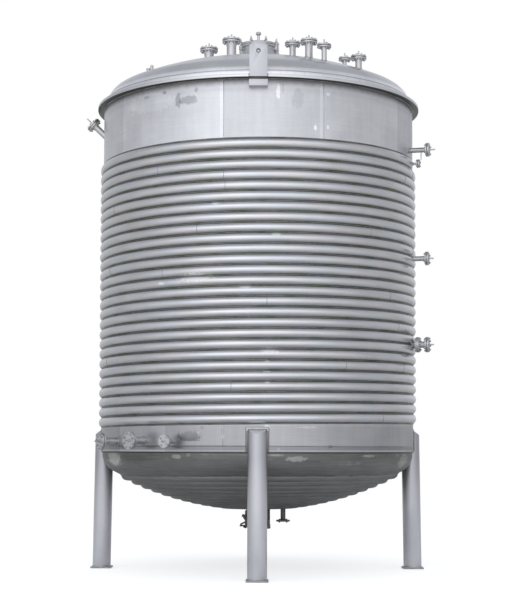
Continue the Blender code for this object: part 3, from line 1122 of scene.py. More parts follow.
@dataclass(frozen=True)
class SatinHalfPipe(Finish):
    """Formed half-pipe: drawn lines, painted shade along its feet by the wall, rub marks, a film of colour.
    """

    tint: Colour = (0.66, 0.66, 0.68)
    cool: Colour = (0.637, 0.660, 0.698)
    warm: Colour = (0.680, 0.655, 0.672)
    green: Colour = (0.50, 0.56, 0.44)
    rough: float = 0.30

    def paint(self, kit: Recipe) -> None:
        """Lay the finish on a plain shader.

        Args:
            kit: Recipe of the material.
        """
        cloud = kit.noise(2.0, (1.0, 1.0, 5.0))
        drawn = kit.noise(10.0, (0.12, 0.12, 14.0))
        grain = kit.noise(120.0, detail=2.0)
        # Painted shade: each turn darker towards the wall, in the grooves between turns.
        soot = kit.spread(kit.from_axis(), SHELL_RADIUS, SHELL_RADIUS + COIL_RISE * 0.90, 0.42, 1.0, True)
        fray = kit.noise(40.0, (1.0, 1.0, 2.0))
        scuff = kit.spread(kit.noise(3.4, (1.0, 1.0, 7.0), detail=6.0, rough=0.7), 0.66, 0.70, 0.0, 1.0)
        level = kit.product(soot, kit.drift(cloud, 0.90, 1.05), kit.drift(drawn, 0.95, 1.03))
        rub = 0.0
        for mark in COIL_RUBS:
            rub = kit.largest(rub, kit.patch(mark, fray, 2.4, 0.35))
        level = kit.total(level, kit.product(scuff, 0.12), kit.product(rub, 0.38))
        rub = kit.total(kit.product(scuff, 0.12), kit.product(rub, 0.34))
        film = kit.noise(2.3, (1.0, 1.0, 3.2))
        tint = kit.blend(kit.spread(film, 0.50, 0.66, 0.0, 1.0), self.tint, self.cool)
        tint = kit.blend(kit.spread(film, 0.34, 0.48, 1.0, 0.0), tint, self.warm)
        green = kit.spread(kit.noise(3.0, (1.0, 1.0, 4.0), detail=2.0), 0.48, 0.62, 0.0, 0.85)
        greened = kit.product(green, kit.spread(soot, 0.55, 1.0, 1.0, 0.12))
        tint = kit.blend(greened, tint, self.green)
        kit.colour(kit.shaded(tint, level))
        kit.roughness(kit.total(kit.drift(cloud, self.rough - 0.05, self.rough + 0.06), rub))
        kit.bumped(drawn, 0.00025)
        kit.bumped(grain, 0.0001)
        kit.bumped(kit.noise(6.0, detail=1.0), 0.0012)


@dataclass(frozen=True)
class DullUnderside(Finish):
    """Stainless painted dark as the shade under the tank, with light scrapes."""

    # Dark tint: painted shade of the underside.
    tint: Colour = (0.285, 0.285, 0.275)
    rough: float = 0.50
    marks: tuple[Mark, ...] = UNDER_MARKS

    def paint(self, kit: Recipe) -> None:
        """Lay the finish on a plain shader.

        Args:
            kit: Recipe of the material.
        """
        cloud = kit.noise(2.4, detail=4.0)
        lines = kit.noise(14.0, (0.3, 1.0, 1.0))
        scrape = kit.spread(kit.noise(2.6, (1.0, 1.0, 2.5), detail=6.0, rough=0.68), 0.60, 0.68, 0.0, 1.0)
        edge = kit.spread(kit.from_axis(), 1.66, 1.86, 0.0, 1.0, True)
        rub = kit.product(scrape, kit.total(kit.product(edge, 0.8), 0.15))
        rings = kit.noise(16.0, (0.15, 0.15, 5.0))
        level = kit.product(
            kit.drift(cloud, 0.85, 1.12), kit.drift(lines, 0.95, 1.05), kit.drift(rings, 0.86, 1.10),
            # Painted shade: darker towards the top of the head, under the wall's edge.
            kit.spread(kit.part("Z"), 1.27, 1.37, 1.0, 0.70, True),
        )
        fray = kit.noise(22.0, detail=5.0, rough=0.65)
        for mark in self.marks:
            mask = kit.patch(mark, fray, 2.2, 0.3)
            level = kit.where(mask, level, mark.gain)
        tint = kit.blend(rub, self.tint, (0.37, 0.37, 0.355))
        kit.colour(kit.shaded(tint, level))
        kit.roughness(kit.drift(cloud, self.rough - 0.06, self.rough + 0.08))
        kit.bumped(cloud, 0.0015)
        kit.bumped(kit.noise(90.0, detail=2.0), 0.00015)


@dataclass(frozen=True)
class PickledSteel(Finish):
    """Smooth pickled stainless with faint streaks down it. Legs are painted lighter towards their feet and
    darker towards their tops, with painted light on their caps.
    """

    tint: Colour = (0.72, 0.72, 0.75)
    rough: float = 0.40
    low_gain: float = 1.0
    high_gain: float = 1.0
    cap_gain: float = 1.0

    def paint(self, kit: Recipe) -> None:
        """Lay the finish on a plain shader.

        Args:
            kit: Recipe of the material.
        """
        cloud = kit.noise(3.0, (1.0, 1.0, 0.6), detail=4.0)
        streak = kit.noise(14.0, (2.0, 2.0, 0.15))
        level = kit.product(
            kit.drift(cloud, 0.94, 1.04), kit.drift(streak, 0.97, 1.02),
            # Painted light and shade: brighter low down, darker high up, brighter on faces that look up.
            kit.spread(kit.part("Z"), 0.15, 1.35, self.low_gain, self.high_gain),
            kit.spread(kit.facing_up(), 0.4, 0.7, 1.0, self.cap_gain),
        )
        paler = tuple(0.88 * value for value in self.tint)
        kit.colour(kit.shaded(kit.blend(streak, self.tint, paler), level))
        kit.roughness(kit.drift(cloud, self.rough - 0.05, self.rough + 0.08))
        kit.bumped(kit.noise(110.0, detail=2.0), 0.0001)


@dataclass(frozen=True)
class MachinedSteel(Finish):
    """Machined or forged steel with small dents and stained patches."""

    tint: Colour = (0.60, 0.60, 0.61)
    rough: float = 0.40
    stain: Colour = (0.48, 0.47, 0.45)
    pale_over: float = 90.0
    pale: float = 1.0

    def paint(self, kit: Recipe) -> None:
        """Lay the finish on a plain shader.

        Args:
            kit: Recipe of the material.
        """
        cloud = kit.noise(14.0, detail=4.0)
        grain = kit.noise(260.0, detail=2.0)
        mask = kit.spread(kit.noise(9.0, detail=5.0, rough=0.65), 0.52, 0.64, 0.0, 0.7)
        # Painted light: above a given height the level is raised.
        top = kit.spread(kit.part("Z"), self.pale_over - 0.004, self.pale_over + 0.004, 1.0, self.pale)
        level = kit.product(kit.drift(cloud, 0.88, 1.08), top)
        kit.colour(kit.shaded(kit.blend(mask, self.tint, self.stain), level))
        kit.roughness(kit.drift(cloud, self.rough - 0.06, self.rough + 0.10))
        kit.bumped(grain, 0.0001)


@dataclass(frozen=True)
class WeldMetal(Finish):
    """Weld bead: fine ripples and a brownish heat tint."""

    tint: Colour = (0.50, 0.50, 0.50)
    heat: Colour = (0.30, 0.27, 0.22)
    rough: float = 0.38

    def paint(self, kit: Recipe) -> None:
        """Lay the finish on a plain shader.

        Args:
            kit: Recipe of the material.
        """
        tone = kit.noise(5.0, detail=5.0, rough=0.65)
        ripple = kit.noise(170.0, detail=2.0)
        tint = kit.blend(kit.spread(tone, 0.45, 0.66, 0.0, 0.8), self.tint, self.heat)
        kit.colour(kit.shaded(tint, kit.drift(ripple, 0.85, 1.12)))
        kit.roughness(kit.drift(tone, self.rough - 0.06, self.rough + 0.12))
        kit.bumped(ripple, 0.0012)


@dataclass(frozen=True)
class GasketSheet(Finish):
    """Pressed fibre gasket between two flanges."""

    tint: Colour = (0.10, 0.10, 0.10)
    pale: Colour = (0.16, 0.16, 0.15)
    metallic: float = 0.0
    rough: float = 0.85

    def paint(self, kit: Recipe) -> None:
        """Lay the finish on a plain shader.

        Args:
            kit: Recipe of the material.
        """
        fibre = kit.noise(400.0)
        kit.colour(kit.blend(fibre, self.tint, self.pale))
        kit.bumped(fibre, 0.0002)


class Finishes:
    """The tank's finishes, each made once and given to many pieces."""

    def __init__(self) -> None:
        """Make every material."""
        # Narrow steps are tone changes at plate seams; ramps several degrees wide are painted light and
        # shade across the wall, the last ones darkening its right side.
        upper = (
            (-90.0, -89.0, 1.09), (-56.0, -55.8, 1.10), (-26.0, -16.0, 0.93), (-11.9, -11.7, 0.84),
            (-4.0, 1.0, 1.06), (17.0, 22.0, 1.09), (22.7, 22.9, 1.02), (36.0, 42.0, 1.06),
            (59.3, 59.5, 0.86), (64.0, 74.0, 0.80),
        )
        lower = (
            (-90.0, -89.0, 1.07), (-56.8, -56.6, 1.24), (-33.1, -32.9, 0.84), (-11.8, -11.6, 0.93),
            (-4.0, 4.0, 1.17), (33.0, 36.0, 0.95), (64.0, 76.0, 0.74),
        )
        self.plate = RolledPlate(
            upper_plates=upper, lower_plates=lower, ground=(-55.9, -12.5, 22.0, 59.4), marks=WALL_MARKS
        ).make("rolled_plate")
        self.rim = RolledPlate(tint=(0.69, 0.69, 0.71), rough=0.34).make("rim_plate")
        # Skirt paler than the wall plate: painted highlight on its band.
        self.skirt = RolledPlate(tint=(0.85, 0.85, 0.87), rough=0.28).make("skirt_plate")
        # Top head, with a painted highlight on its lowest band.
        self.head = RolledPlate(tint=(0.74, 0.74, 0.77), rough=0.30, polished=(5.728, 5.742, 1.28)).make(
            "head_plate"
        )
        self.pipe = SatinHalfPipe().make("satin_half_pipe")
        self.under = DullUnderside().make("dull_underside")
        # Legs: painted light low down and on the caps, painted shade high up.
        self.leg = PickledSteel(low_gain=1.34, high_gain=0.69, cap_gain=1.80).make("pickled_pipe")
        self.lug = PickledSteel(tint=(0.58, 0.58, 0.61), rough=0.44).make("lug_plate")
        # Leg pads: dark tint as painted shade beside the legs, lighter above 1.65 m.
        self.pad = MachinedSteel(
            tint=(0.24, 0.24, 0.24), stain=(0.18, 0.18, 0.17), pale_over=1.652, pale=1.9
        ).make("pad_plate")
        self.foot = MachinedSteel(tint=(0.42, 0.42, 0.42), rough=0.50, stain=(0.30, 0.29, 0.28)).make(
            "foot_plate_steel"
        )
        self.fitting = MachinedSteel().make("machined_fitting")
        self.bolt = MachinedSteel(tint=(0.56, 0.56, 0.57), rough=0.42).make("bolt_steel")
        self.outlet = MachinedSteel(tint=(0.16, 0.16, 0.16), rough=0.45, stain=(0.11, 0.11, 0.10)).make(
            "outlet_metal"
        )
        self.weld = WeldMetal().make("weld_metal")
        self.dull_weld = WeldMetal(tint=(0.34, 0.34, 0.34), heat=(0.22, 0.21, 0.18)).make("dull_weld")
        # Welds in grooves, under the rim and beside the legs, tinted darker as painted shade.
        self.dark_weld = WeldMetal(tint=(0.24, 0.24, 0.235), heat=(0.13, 0.128, 0.11)).make("groove_weld")
        self.seam = WeldMetal(tint=(0.50, 0.50, 0.51), heat=(0.40, 0.39, 0.37)).make("seam_weld")
        # Near-black beads put in gaps and holes: painted shade.
        self.shade = WeldMetal(tint=(0.11, 0.11, 0.11), heat=(0.08, 0.08, 0.075)).make("gap_weld")
        self.gasket = GasketSheet().make("gasket_sheet")


def dress(item: Piece, material: Material, slot: Slot, *nodes: str) -> Piece:
    """Finish a piece: give it its material and its body, and hide the CAD nodes it stands for.

    Args:
        item: The piece.
        material: Its material.
        slot: Not used.
        *nodes: CAD nodes that it replaces.

    Returns:
        The same piece.
    """
    item.data.materials.clear()
    item.data.materials.append(material)
    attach(item, BODY)
    if nodes:
        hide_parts(*nodes)
    stands_for = " for " + ", ".join(nodes) if nodes else ""
    log.info("%s: %d faces%s", item.name, len(item.data.polygons), stands_for)
    return item


# Vessel


@dataclass
class Vessel:
    """Wall, rim ring, dished heads and the welds that join them."""

    finishes: Finishes
    wall_edges: tuple[float, ...] = (1.50, 1.62, 4.98, 5.20, 5.42)
    seam_bead: float = 0.006
    seam_sunk: float = 0.80
    upper_seams: tuple[float, ...] = (-55.9, -11.8, 22.8, 59.4, 115.0, 155.0, -155.0, -110.0)
    lower_seams: tuple[float, ...] = (-56.7, -11.7, 115.0, -155.0)
    upper_band: Pair = (4.935, 5.580)
    lower_band: Pair = (1.486, 1.742)
    bore: float = 0.191
    manhole_y: float = -0.200
    strip_rise: float = 0.0035
    skirt_high: float = 5.684

    def wall(self) -> None:
        """Rolled wall as one smooth shell."""
        middle = (0.0, 0.0, (SHELL_BOTTOM + SHELL_TOP) / 2.0)
        depth = SHELL_TOP - SHELL_BOTTOM
        item = cylinder("wall", SHELL_RADIUS, depth, middle, ROUND_STEPS, end_fill_type="NOTHING")
        with editing(item):
            for height in self.wall_edges:
                bpy.ops.mesh.select_all(action="SELECT")
                bpy.ops.mesh.bisect(plane_co=(0.0, 0.0, height), plane_no=UP)
        with_modifier(item, "SOLIDIFY", thickness=WALL, offset=-1.0)
        smooth(item)
        plates = ["shell_plate_{}".format(number) for number in range(1, 9)]
        dress(item, self.finishes.plate, Slot.SHELL, *plates)

    def seams(self) -> None:
        """Upright weld beads in the two plain bands."""
        beads = []
        radius = SHELL_RADIUS - self.seam_bead * self.seam_sunk
        for band, bearings in ((self.upper_band, self.upper_seams), (self.lower_band, self.lower_seams)):
            for bearing in bearings:
                start, end = (around(radius, bearing, height) for height in band)
                beads.append(rod("seam", start, end, self.seam_bead, sides=12))
        dress(smooth(joined(beads, "wall_seams"), 60.0), self.finishes.seam, Slot.SHELL)

    def rim(self) -> None:
        """Flat ring between wall and top head, with rounded outer corners, and its welds."""
        high = RIM_LOW + RIM_THICKNESS
        line = [(RIM_RADIUS, high), (RIM_RADIUS, RIM_LOW), (RIM_BORE, RIM_LOW), (RIM_BORE, high)]
        item = turn("rim_flange", line, ROUND_STEPS, closed=True)
        soften(item, 0.005)
        dress(smooth(item, 40.0), self.finishes.rim, Slot.SHELL, "rim_ring")
        line = [
            (SHELL_RADIUS - 0.003, RIM_LOW - 0.011), (SHELL_RADIUS + 0.003, RIM_LOW - 0.009),
            (SHELL_RADIUS + 0.009, RIM_LOW - 0.003), (SHELL_RADIUS + 0.010, RIM_LOW + 0.003),
            (SHELL_RADIUS - 0.003, RIM_LOW + 0.003),
        ]
        low = roughen(turn("rim_weld_low", line, ROUND_STEPS, closed=True), 0.0006, 3)
        line = [
            (TOP_EDGE - 0.003, HEAD_BASE - 0.003), (TOP_EDGE + 0.010, HEAD_BASE - 0.003),
            (TOP_EDGE + 0.009, HEAD_BASE + 0.004), (TOP_EDGE + 0.003, HEAD_BASE + 0.009),
            (TOP_EDGE - 0.003, HEAD_BASE + 0.010),
        ]
        high = roughen(turn("rim_weld_high", line, ROUND_STEPS, closed=True), 0.0006, 4)
        dress(smooth(low, 60.0), self.finishes.dark_weld, Slot.SHELL)
        dress(smooth(high, 60.0), self.finishes.dull_weld, Slot.SHELL)
        self.skirt()

    def skirt(self) -> None:
        """Upright skirt at the foot of the top head, with the weld on its upper edge."""
        high = self.skirt_high
        line = [
            (TOP_EDGE - 0.022, HEAD_BASE + 0.001), (TOP_EDGE + 0.0045, HEAD_BASE + 0.001),
            (TOP_EDGE + 0.0030, high - 0.006), (TOP_EDGE + 0.0005, high - 0.001),
            (TOP_EDGE - 0.0035, high), (TOP_EDGE - 0.022, high),
        ]
        item = turn("head_skirt", line, ROUND_STEPS, closed=True)
        dress(smooth(item, 50.0), self.finishes.skirt, Slot.SHELL)
        ring = bead_line(TOP_EDGE - 0.0055, high + 0.003, 0.0060)
        bead = roughen(turn("skirt_weld", ring, ROUND_STEPS, closed=True), 0.0004, 8)
        dress(smooth(bead, 80.0), self.finishes.seam, Slot.SHELL)

    def heads(self) -> None:
        """Dished ends with a 10 mm wall. The top one is open under the manhole."""
        line = [(x, HEAD_BASE + z) for x, z in TOP_DISH.line(10, 16)]
        top = turn("top_dish", line, ROUND_STEPS)
        with_modifier(top, "SOLIDIFY", thickness=WALL, offset=-1.0)
        cut(top, cylinder("bore_cutter", self.bore, 0.4, (0.0, self.manhole_y, 6.2), 48))
        dress(smooth(top), self.finishes.head, Slot.TOP, "top_head")
        line = [(BOTTOM_EDGE, SHELL_BOTTOM + 0.030), *bottom_line()]
        bottom = turn("bottom_dish", line, ROUND_STEPS)
        with_modifier(bottom, "SOLIDIFY", thickness=WALL, offset=-1.0)
        dress(smooth(bottom), self.finishes.under, Slot.UNDER, "bottom_head")

    def lower_lip(self) -> None:
        """Backing strip round the wall's lower edge, with a bead above it and a near-black bead below it as
        painted shade in the gap.
        """
        out = SHELL_RADIUS + self.strip_rise
        line = box_line(SHELL_RADIUS - 0.003, out, SHELL_BOTTOM, LIP_HIGH)
        strip = turn("lower_strip", line, ROUND_STEPS, closed=True)
        soften(strip, 0.0012)
        dress(smooth(strip), self.finishes.plate, Slot.SHELL)
        rows = (
            ("strip_weld", LIP_HIGH, SHELL_RADIUS + 0.0005, 0.0045, self.finishes.dull_weld),
            # Near-black bead under the wall's edge: painted shade.
            ("lip_weld", SHELL_BOTTOM - 0.006, SHELL_RADIUS - 0.006, 0.0075, self.finishes.shade),
        )
        for name, height, radius, thickness, finish in rows:
            ring = bead_line(radius, height, thickness)
            bead = roughen(turn(name, ring, ROUND_STEPS, closed=True), 0.0005, 7)
            dress(smooth(bead, 80.0), finish, Slot.SHELL)

    def build(self) -> None:
        """Build the vessel from the wall outwards."""
        self.wall()
        self.seams()
        self.rim()
        self.heads()
        self.lower_lip()


@dataclass
class WallCoil:
    """One zone of half-pipe wound up the wall, with the welds in its grooves."""

    finishes: Finishes
    name: str
    node: str
    first: float
    last: float

    def height(self, bearing: float) -> float:
        """Height of the coil's middle at a bearing."""
        return COIL_FRONT_Z + PITCH * bearing / 360.0

    def build(self) -> None:
        """Wind the half-pipe, then the bead along both its edges."""
        angle = self.last - self.first
        start = self.height(self.first)
        rows = (
            (self.name, half_pipe_line(SHELL_RADIUS, start), angle, 40.0, self.finishes.pipe),
            (self.name + "_weld", groove_line(SHELL_RADIUS, start - PITCH / 2.0), angle + 360.0, 60.0,
             self.finishes.dark_weld),
        )
        for (name, line, degrees, sharp, finish), nodes in zip(rows, ([self.node], [])):
            steps = round(degrees / 360.0 * COIL_STEPS)
            item = sweep(name, line, self.first, degrees, steps, PITCH * degrees / 360.0)
            dress(smooth(item, sharp), finish, Slot.COIL, *nodes)


@dataclass
class ButtWelds:
    """Beads over the half-pipe where two lengths of it meet."""

    finishes: Finishes
    thickness: float = 0.0028
    seed: int = 12

    def build(self) -> None:
        """Model one bead, then copy it to each joint."""
        sunk = COIL_BEND - COIL_RISE
        across = (math.pi / 2.0, 0.0, math.pi / 2.0)
        item = torus("butt_weld", COIL_BEND, self.thickness, 36, rotation=across)
        with editing(item):
            bpy.ops.mesh.bisect(
                plane_co=(0.0, sunk - 0.002, 0.0), plane_no=(0.0, 1.0, 0.0), use_fill=True, clear_inner=True
            )
        roughen(clean(item), 0.0004, 5)
        places = []
        draw = random.Random(self.seed)
        joints = [(22, -11.0), (23, -11.5), (11, 3.0), (14, -34.0), (5, 31.0), (18, 42.0)]
        joints += [(number, draw.uniform(60.0, 300.0)) for number in range(1, 26)]
        joints += [(number, draw.uniform(-80.0, 60.0)) for number in range(0, 27, 3)]
        for number, bearing in joints:
            height = COIL_FRONT_Z + PITCH * (number + bearing / 360.0)
            places.append(beside(bearing, SHELL_RADIUS - sunk, height))
        item = repeated(item, places, "coil_butt_welds")
        dress(smooth(item, 60.0), self.finishes.dull_weld, Slot.COIL)


@dataclass
class BottomCoil:
    """Half-pipe wound in a spiral on the bottom head."""

    finishes: Finishes
    outer: float = 1.664
    inner: float = 0.420
    first: float = 85.0
    steps_per_turn: int = 80

    @property
    def turns(self) -> float:
        """Number of turns from the outer end to the inner one."""
        return (self.outer - self.inner) / PITCH

    def wound(self, point: Vector, length: float) -> Vector:
        """Where a point of the straight half-pipe lies once it is wound on the head.

        Args:
            point: X out of the head, Y across the half-pipe and Z along it.
            length: Length of the straight half-pipe.

        Returns:
            The point on the head.
        """
        wound = self.turns * point.z / length
        bearing = self.first - 360.0 * wound
        middle = self.outer - PITCH * wound
        lean = math.asin(middle / BOTTOM_DISH.crown)
        radius = middle + point.y * math.cos(lean)
        foot = bottom_height(radius)
        return around(radius + point.x * math.sin(lean), bearing, foot - point.x * math.cos(lean))

    def wind(self, name: str, line: Line) -> Piece:
        """Draw a section, stretch it into a straight length and wind it on the head.

        Args:
            name: Name of the piece.
            line: Closed section, out of the head and across.

        Returns:
            The piece.
        """
        item = draw_line(name, line, closed=True)
        with editing(item):
            bpy.ops.transform.rotate(value=math.pi / 2.0, orient_axis="X", center_override=(0.0, 0.0, 0.0))
        steps = round(self.turns * self.steps_per_turn)
        with_modifier(
            item, "SCREW", axis="Z", angle=0.0, screw_offset=1.0, iterations=1, steps=steps,
            render_steps=steps, use_merge_vertices=False,
        )
        clean(item, fill=True)
        for vertex in item.data.vertices:
            vertex.co = self.wound(vertex.co, 1.0)
        return clean(item)

    def build(self) -> None:
        """Wind the half-pipe and the bead in its grooves."""
        item = self.wind("spiral_half_pipe", half_pipe_line(0.0, 0.0))
        dress(smooth(item, 40.0), self.finishes.under, Slot.UNDER, "bottom_coil")
        item = self.wind("spiral_weld", groove_line(0.0, PITCH / 2.0))
        dress(smooth(item, 60.0), self.finishes.dark_weld, Slot.UNDER)


@dataclass
class Leg:
    """Pipe leg that leans in to the vessel, with its sloping cap, foot plate and curved pad."""

    finishes: Finishes
    side: str
    bearing: float
    centre: float = 1.897
    splay: float = 0.0147
    radius: float = 0.1095
    top_outer: float = 1.622
    slope: float = 0.70
    foot: float = 0.250
    foot_thickness: float = 0.020
    pad_width: float = 0.250
    pad_low: float = 1.420
    pad_high: float = 1.690
    pad_thickness: float = 0.010

    def __post_init__(self) -> None:
        """Work out the pad's outer face and half of its width in degrees."""
        self.pad_outer = SHELL_RADIUS + self.pad_thickness
        self.pad_half = math.degrees(self.pad_width / 2.0 / SHELL_RADIUS)

    def core(self) -> Piece:
        """Solid with the form of wall, pads and bottom head, which the pipe is cut to.

        Returns:
            The solid.
        """
        line = [
            (0.0, 2.2), (SHELL_RADIUS, 2.2), (SHELL_RADIUS, self.pad_high), (self.pad_outer, self.pad_high),
            (self.pad_outer, self.pad_low), (SHELL_RADIUS, self.pad_low), (SHELL_RADIUS, SHELL_BOTTOM),
            (BOTTOM_EDGE, SHELL_BOTTOM - 0.002),
        ]
        return turn("core", line + bottom_line(), ROUND_STEPS)

    def pipe(self) -> None:
        """Pipe, cut to its slope and to the vessel."""
        middle = (0.0, 0.0, self.foot_thickness + 0.992)
        item = cylinder("pipe_leg_" + self.side, self.radius, 2.0, middle, 56)
        with editing(item):
            bpy.ops.mesh.bisect(
                plane_co=(0.0, self.radius, self.top_outer), plane_no=(0.0, self.slope, 1.0),
                use_fill=True, clear_outer=True,
            )
        soften(item, 0.004)
        lean = Matrix.Rotation(math.atan(self.splay), 4, "X")
        cut(put(item, beside(self.bearing, self.centre, 0.0) @ lean), self.core())
        dress(smooth(item), self.finishes.leg, Slot.LEG, "leg_" + self.side)

    def plate(self) -> None:
        """Foot plate, and the bead between it and the pipe."""
        half, high = self.foot / 2.0, self.foot_thickness
        item = block("foot_plate_" + self.side, (-half, -half, 0.0), (half, half, high), 0.003)
        dress(smooth(put(item, beside(self.bearing, self.centre, 0.0))), self.finishes.foot, Slot.LEG)
        place = Matrix.Translation(around(self.centre, self.bearing, high + 0.001))
        ring = bead_ring("foot_weld_" + self.side, self.radius + 0.002, 0.006, place, 64)
        dress(ring, self.finishes.weld, Slot.LEG)

    def round_pad(self, name: str, line: Line) -> Piece:
        """Sweep a section over the pad's width."""
        return sweep(name + self.side, line, self.bearing - self.pad_half, 2.0 * self.pad_half, 10)

    def pad(self) -> None:
        """Curved pad between the pipe and the wall."""
        line = box_line(SHELL_RADIUS, self.pad_outer, self.pad_low, self.pad_high)
        item = soften(self.round_pad("leg_saddle_", line), 0.003)
        dress(smooth(item), self.finishes.pad, Slot.LEG, "leg_pad_" + self.side)

    def pad_welds(self) -> None:
        """Beads round the pad's edge and along both sides of the pipe on it."""
        radius, outer = SHELL_RADIUS + 0.001, self.pad_outer
        heights = (self.pad_low, self.pad_high)
        beads = [self.round_pad("pad_bead_", bead_line(radius, height, 0.0065)) for height in heights]
        dress(smooth(beads.pop(), 80.0), self.finishes.seam, Slot.LEG)
        middle = sum(heights) / 2.0
        chord = math.sqrt(self.radius ** 2 - (outer - self.centre + self.splay * middle) ** 2)
        rows = (
            (self.pad_half, radius, *heights, 0.0065),
            (math.degrees(chord / outer), outer + 0.001, self.pad_low + 0.01, self.top_outer + 0.045, 0.006),
        )
        for angle, out, low, high, thickness in rows:
            for bearing in (self.bearing - angle, self.bearing + angle):
                start, end = around(out, bearing, low), around(out, bearing, high)
                beads.append(rod("pad_bead", start, end, thickness, 10))
        item = roughen(joined(beads, "pad_welds_" + self.side), 0.0006, 9)
        dress(smooth(item, 80.0), self.finishes.dark_weld, Slot.LEG)

    def build(self) -> None:
        """Build the leg from its pipe to its pad."""
        self.pipe()
        self.plate()
        self.pad()
        self.pad_welds()


@dataclass
class LiftingLug:
    """Lifting plate on the rim's edge, with the block below that joins it to the wall."""

    finishes: Finishes
    side: str
    bearing: float
    width: float = 0.212
    low: float = 5.477
    high: float = 5.980
    inner: float = 1.9688
    thickness: float = 0.025
    corner: float = 0.045
    hole_z: float = 5.876
    hole_radius: float = 0.024
    inset: float = 0.005
    plate_low: float = 5.586
    block_high: float = 5.558

    def plate(self) -> Piece:
        """Lifting plate with its two cut corners and its hole.

        Returns:
            The piece.
        """
        half = self.width / 2.0 - self.inset
        outer = self.inner + self.thickness
        low, high = (-half, self.inner, self.plate_low), (half, outer, self.high)
        item = cuboid("lug_plate_" + self.side, low, high)
        with editing(item):
            select_edges(item, lambda a, b: min(a.z, b.z) > self.high - MERGE and abs(a.x - b.x) < MERGE)
            bpy.ops.mesh.bevel(offset=self.corner, segments=1, affect="EDGES")
        across = (math.pi / 2.0, 0.0, 0.0)
        cut(item, cylinder("drill", self.hole_radius, 0.1, (0.0, outer, self.hole_z), 40, rotation=across))
        return soften(item, 0.0025)

    def feet(self) -> list[Piece]:
        """Block under the plate, and the web that joins the two.

        Returns:
            Both pieces.
        """
        half = self.width / 2.0
        wall = SHELL_RADIUS - 0.008
        return [
            block("lug_block", (-half, wall, self.low + 0.006),
                  (half, self.inner + self.thickness - 0.001, self.block_high), 0.004),
            block("lug_web", (0.020 - half, wall, self.block_high - 0.010),
                  (half - 0.020, self.inner + 0.002, self.plate_low + 0.030), 0.002),
        ]

    def beads(self) -> Piece:
        """Beads up both sides of the plate and the block, and under the block.

        Returns:
            The joined beads.
        """
        half = self.width / 2.0
        edge, wall, low = half * 0.94, SHELL_RADIUS + 0.002, self.low + 0.006
        back, rim_high = self.inner + 0.002, RIM_LOW + RIM_THICKNESS
        rows = []
        for way in (-1.0, 1.0):
            rows.append(((way * half, back, RIM_LOW), (way * half, back, rim_high)))
            rows.append(((way * edge, wall, self.low + 0.01), (way * edge, wall, self.block_high)))
        rows.append(((-edge, wall, low), (edge, wall, low)))
        parts = [rod("bead", start, end, 0.006, 10) for start, end in rows]
        return joined(parts, "lug_welds_" + self.side)

    def root_bead(self) -> Piece:
        """Dark bead in the gap between plate and block: painted shade.

        Returns:
            The piece.
        """
        half, out = self.width / 2.0 - 0.008, self.inner + 0.001
        middle = (self.block_high + self.plate_low) / 2.0
        return rod("lug_root_weld_" + self.side, (-half, out, middle), (half, out, middle), 0.013, 12)

    def hole_grime(self) -> Piece:
        """Dark ring lining the hole: painted shade in the bore.

        Returns:
            The piece.
        """
        depth = self.thickness - 0.003
        outer, bore = self.hole_radius - 0.0004, self.hole_radius * 0.62
        item = turn("lug_hole_grime_" + self.side, box_line(bore, outer, 0.0, depth), 40, closed=True)
        return put(item, aim(Vector((0.0, self.inner, self.hole_z)), Vector((0.0, 1.0, 0.0))))

    def build(self) -> None:
        """Build the lug in front and turn it to its side."""
        metal = joined([self.plate(), *self.feet()], "lug_plate_" + self.side)
        rows = (
            (metal, 35.0, self.finishes.lug, ["lifting_lug_" + self.side]),
            (self.beads(), 60.0, self.finishes.weld, []),
            (self.root_bead(), 60.0, self.finishes.shade, []),
            (self.hole_grime(), 60.0, self.finishes.shade, []),
        )
        place = Matrix.Rotation(math.radians(self.bearing + 180.0), 4, "Z")
        for item, angle, finish, nodes in rows:
            dress(smooth(put(item, place), angle), finish, Slot.LUG, *nodes)


# Fittings


@dataclass
class StudBolt:
    """A stud with a hexagon nut at each end, along +Z, centred on the joint."""

    thread: float
    grip: float

    def build(self) -> Piece:
        """Model the stud and its nuts.

        Returns:
            The piece.
        """
        nut_radius = self.thread * 1.60
        nut_height = self.thread * 1.4
        reach = self.grip / 2.0 + nut_height + self.thread * 0.7
        parts = [rod("stud", (0.0, 0.0, -reach), (0.0, 0.0, reach), self.thread, 10)]
        for way in (-1.0, 1.0):
            middle = (0.0, 0.0, way * (self.grip + nut_height) / 2.0)
            nut = cylinder("nut", nut_radius, nut_height, middle, 6)
            parts.append(with_modifier(nut, "BEVEL", width=self.thread * 0.12, segments=1,
                                       limit_method="ANGLE", angle_limit=math.radians(70.0)))
        return joined(parts, "stud_bolt")


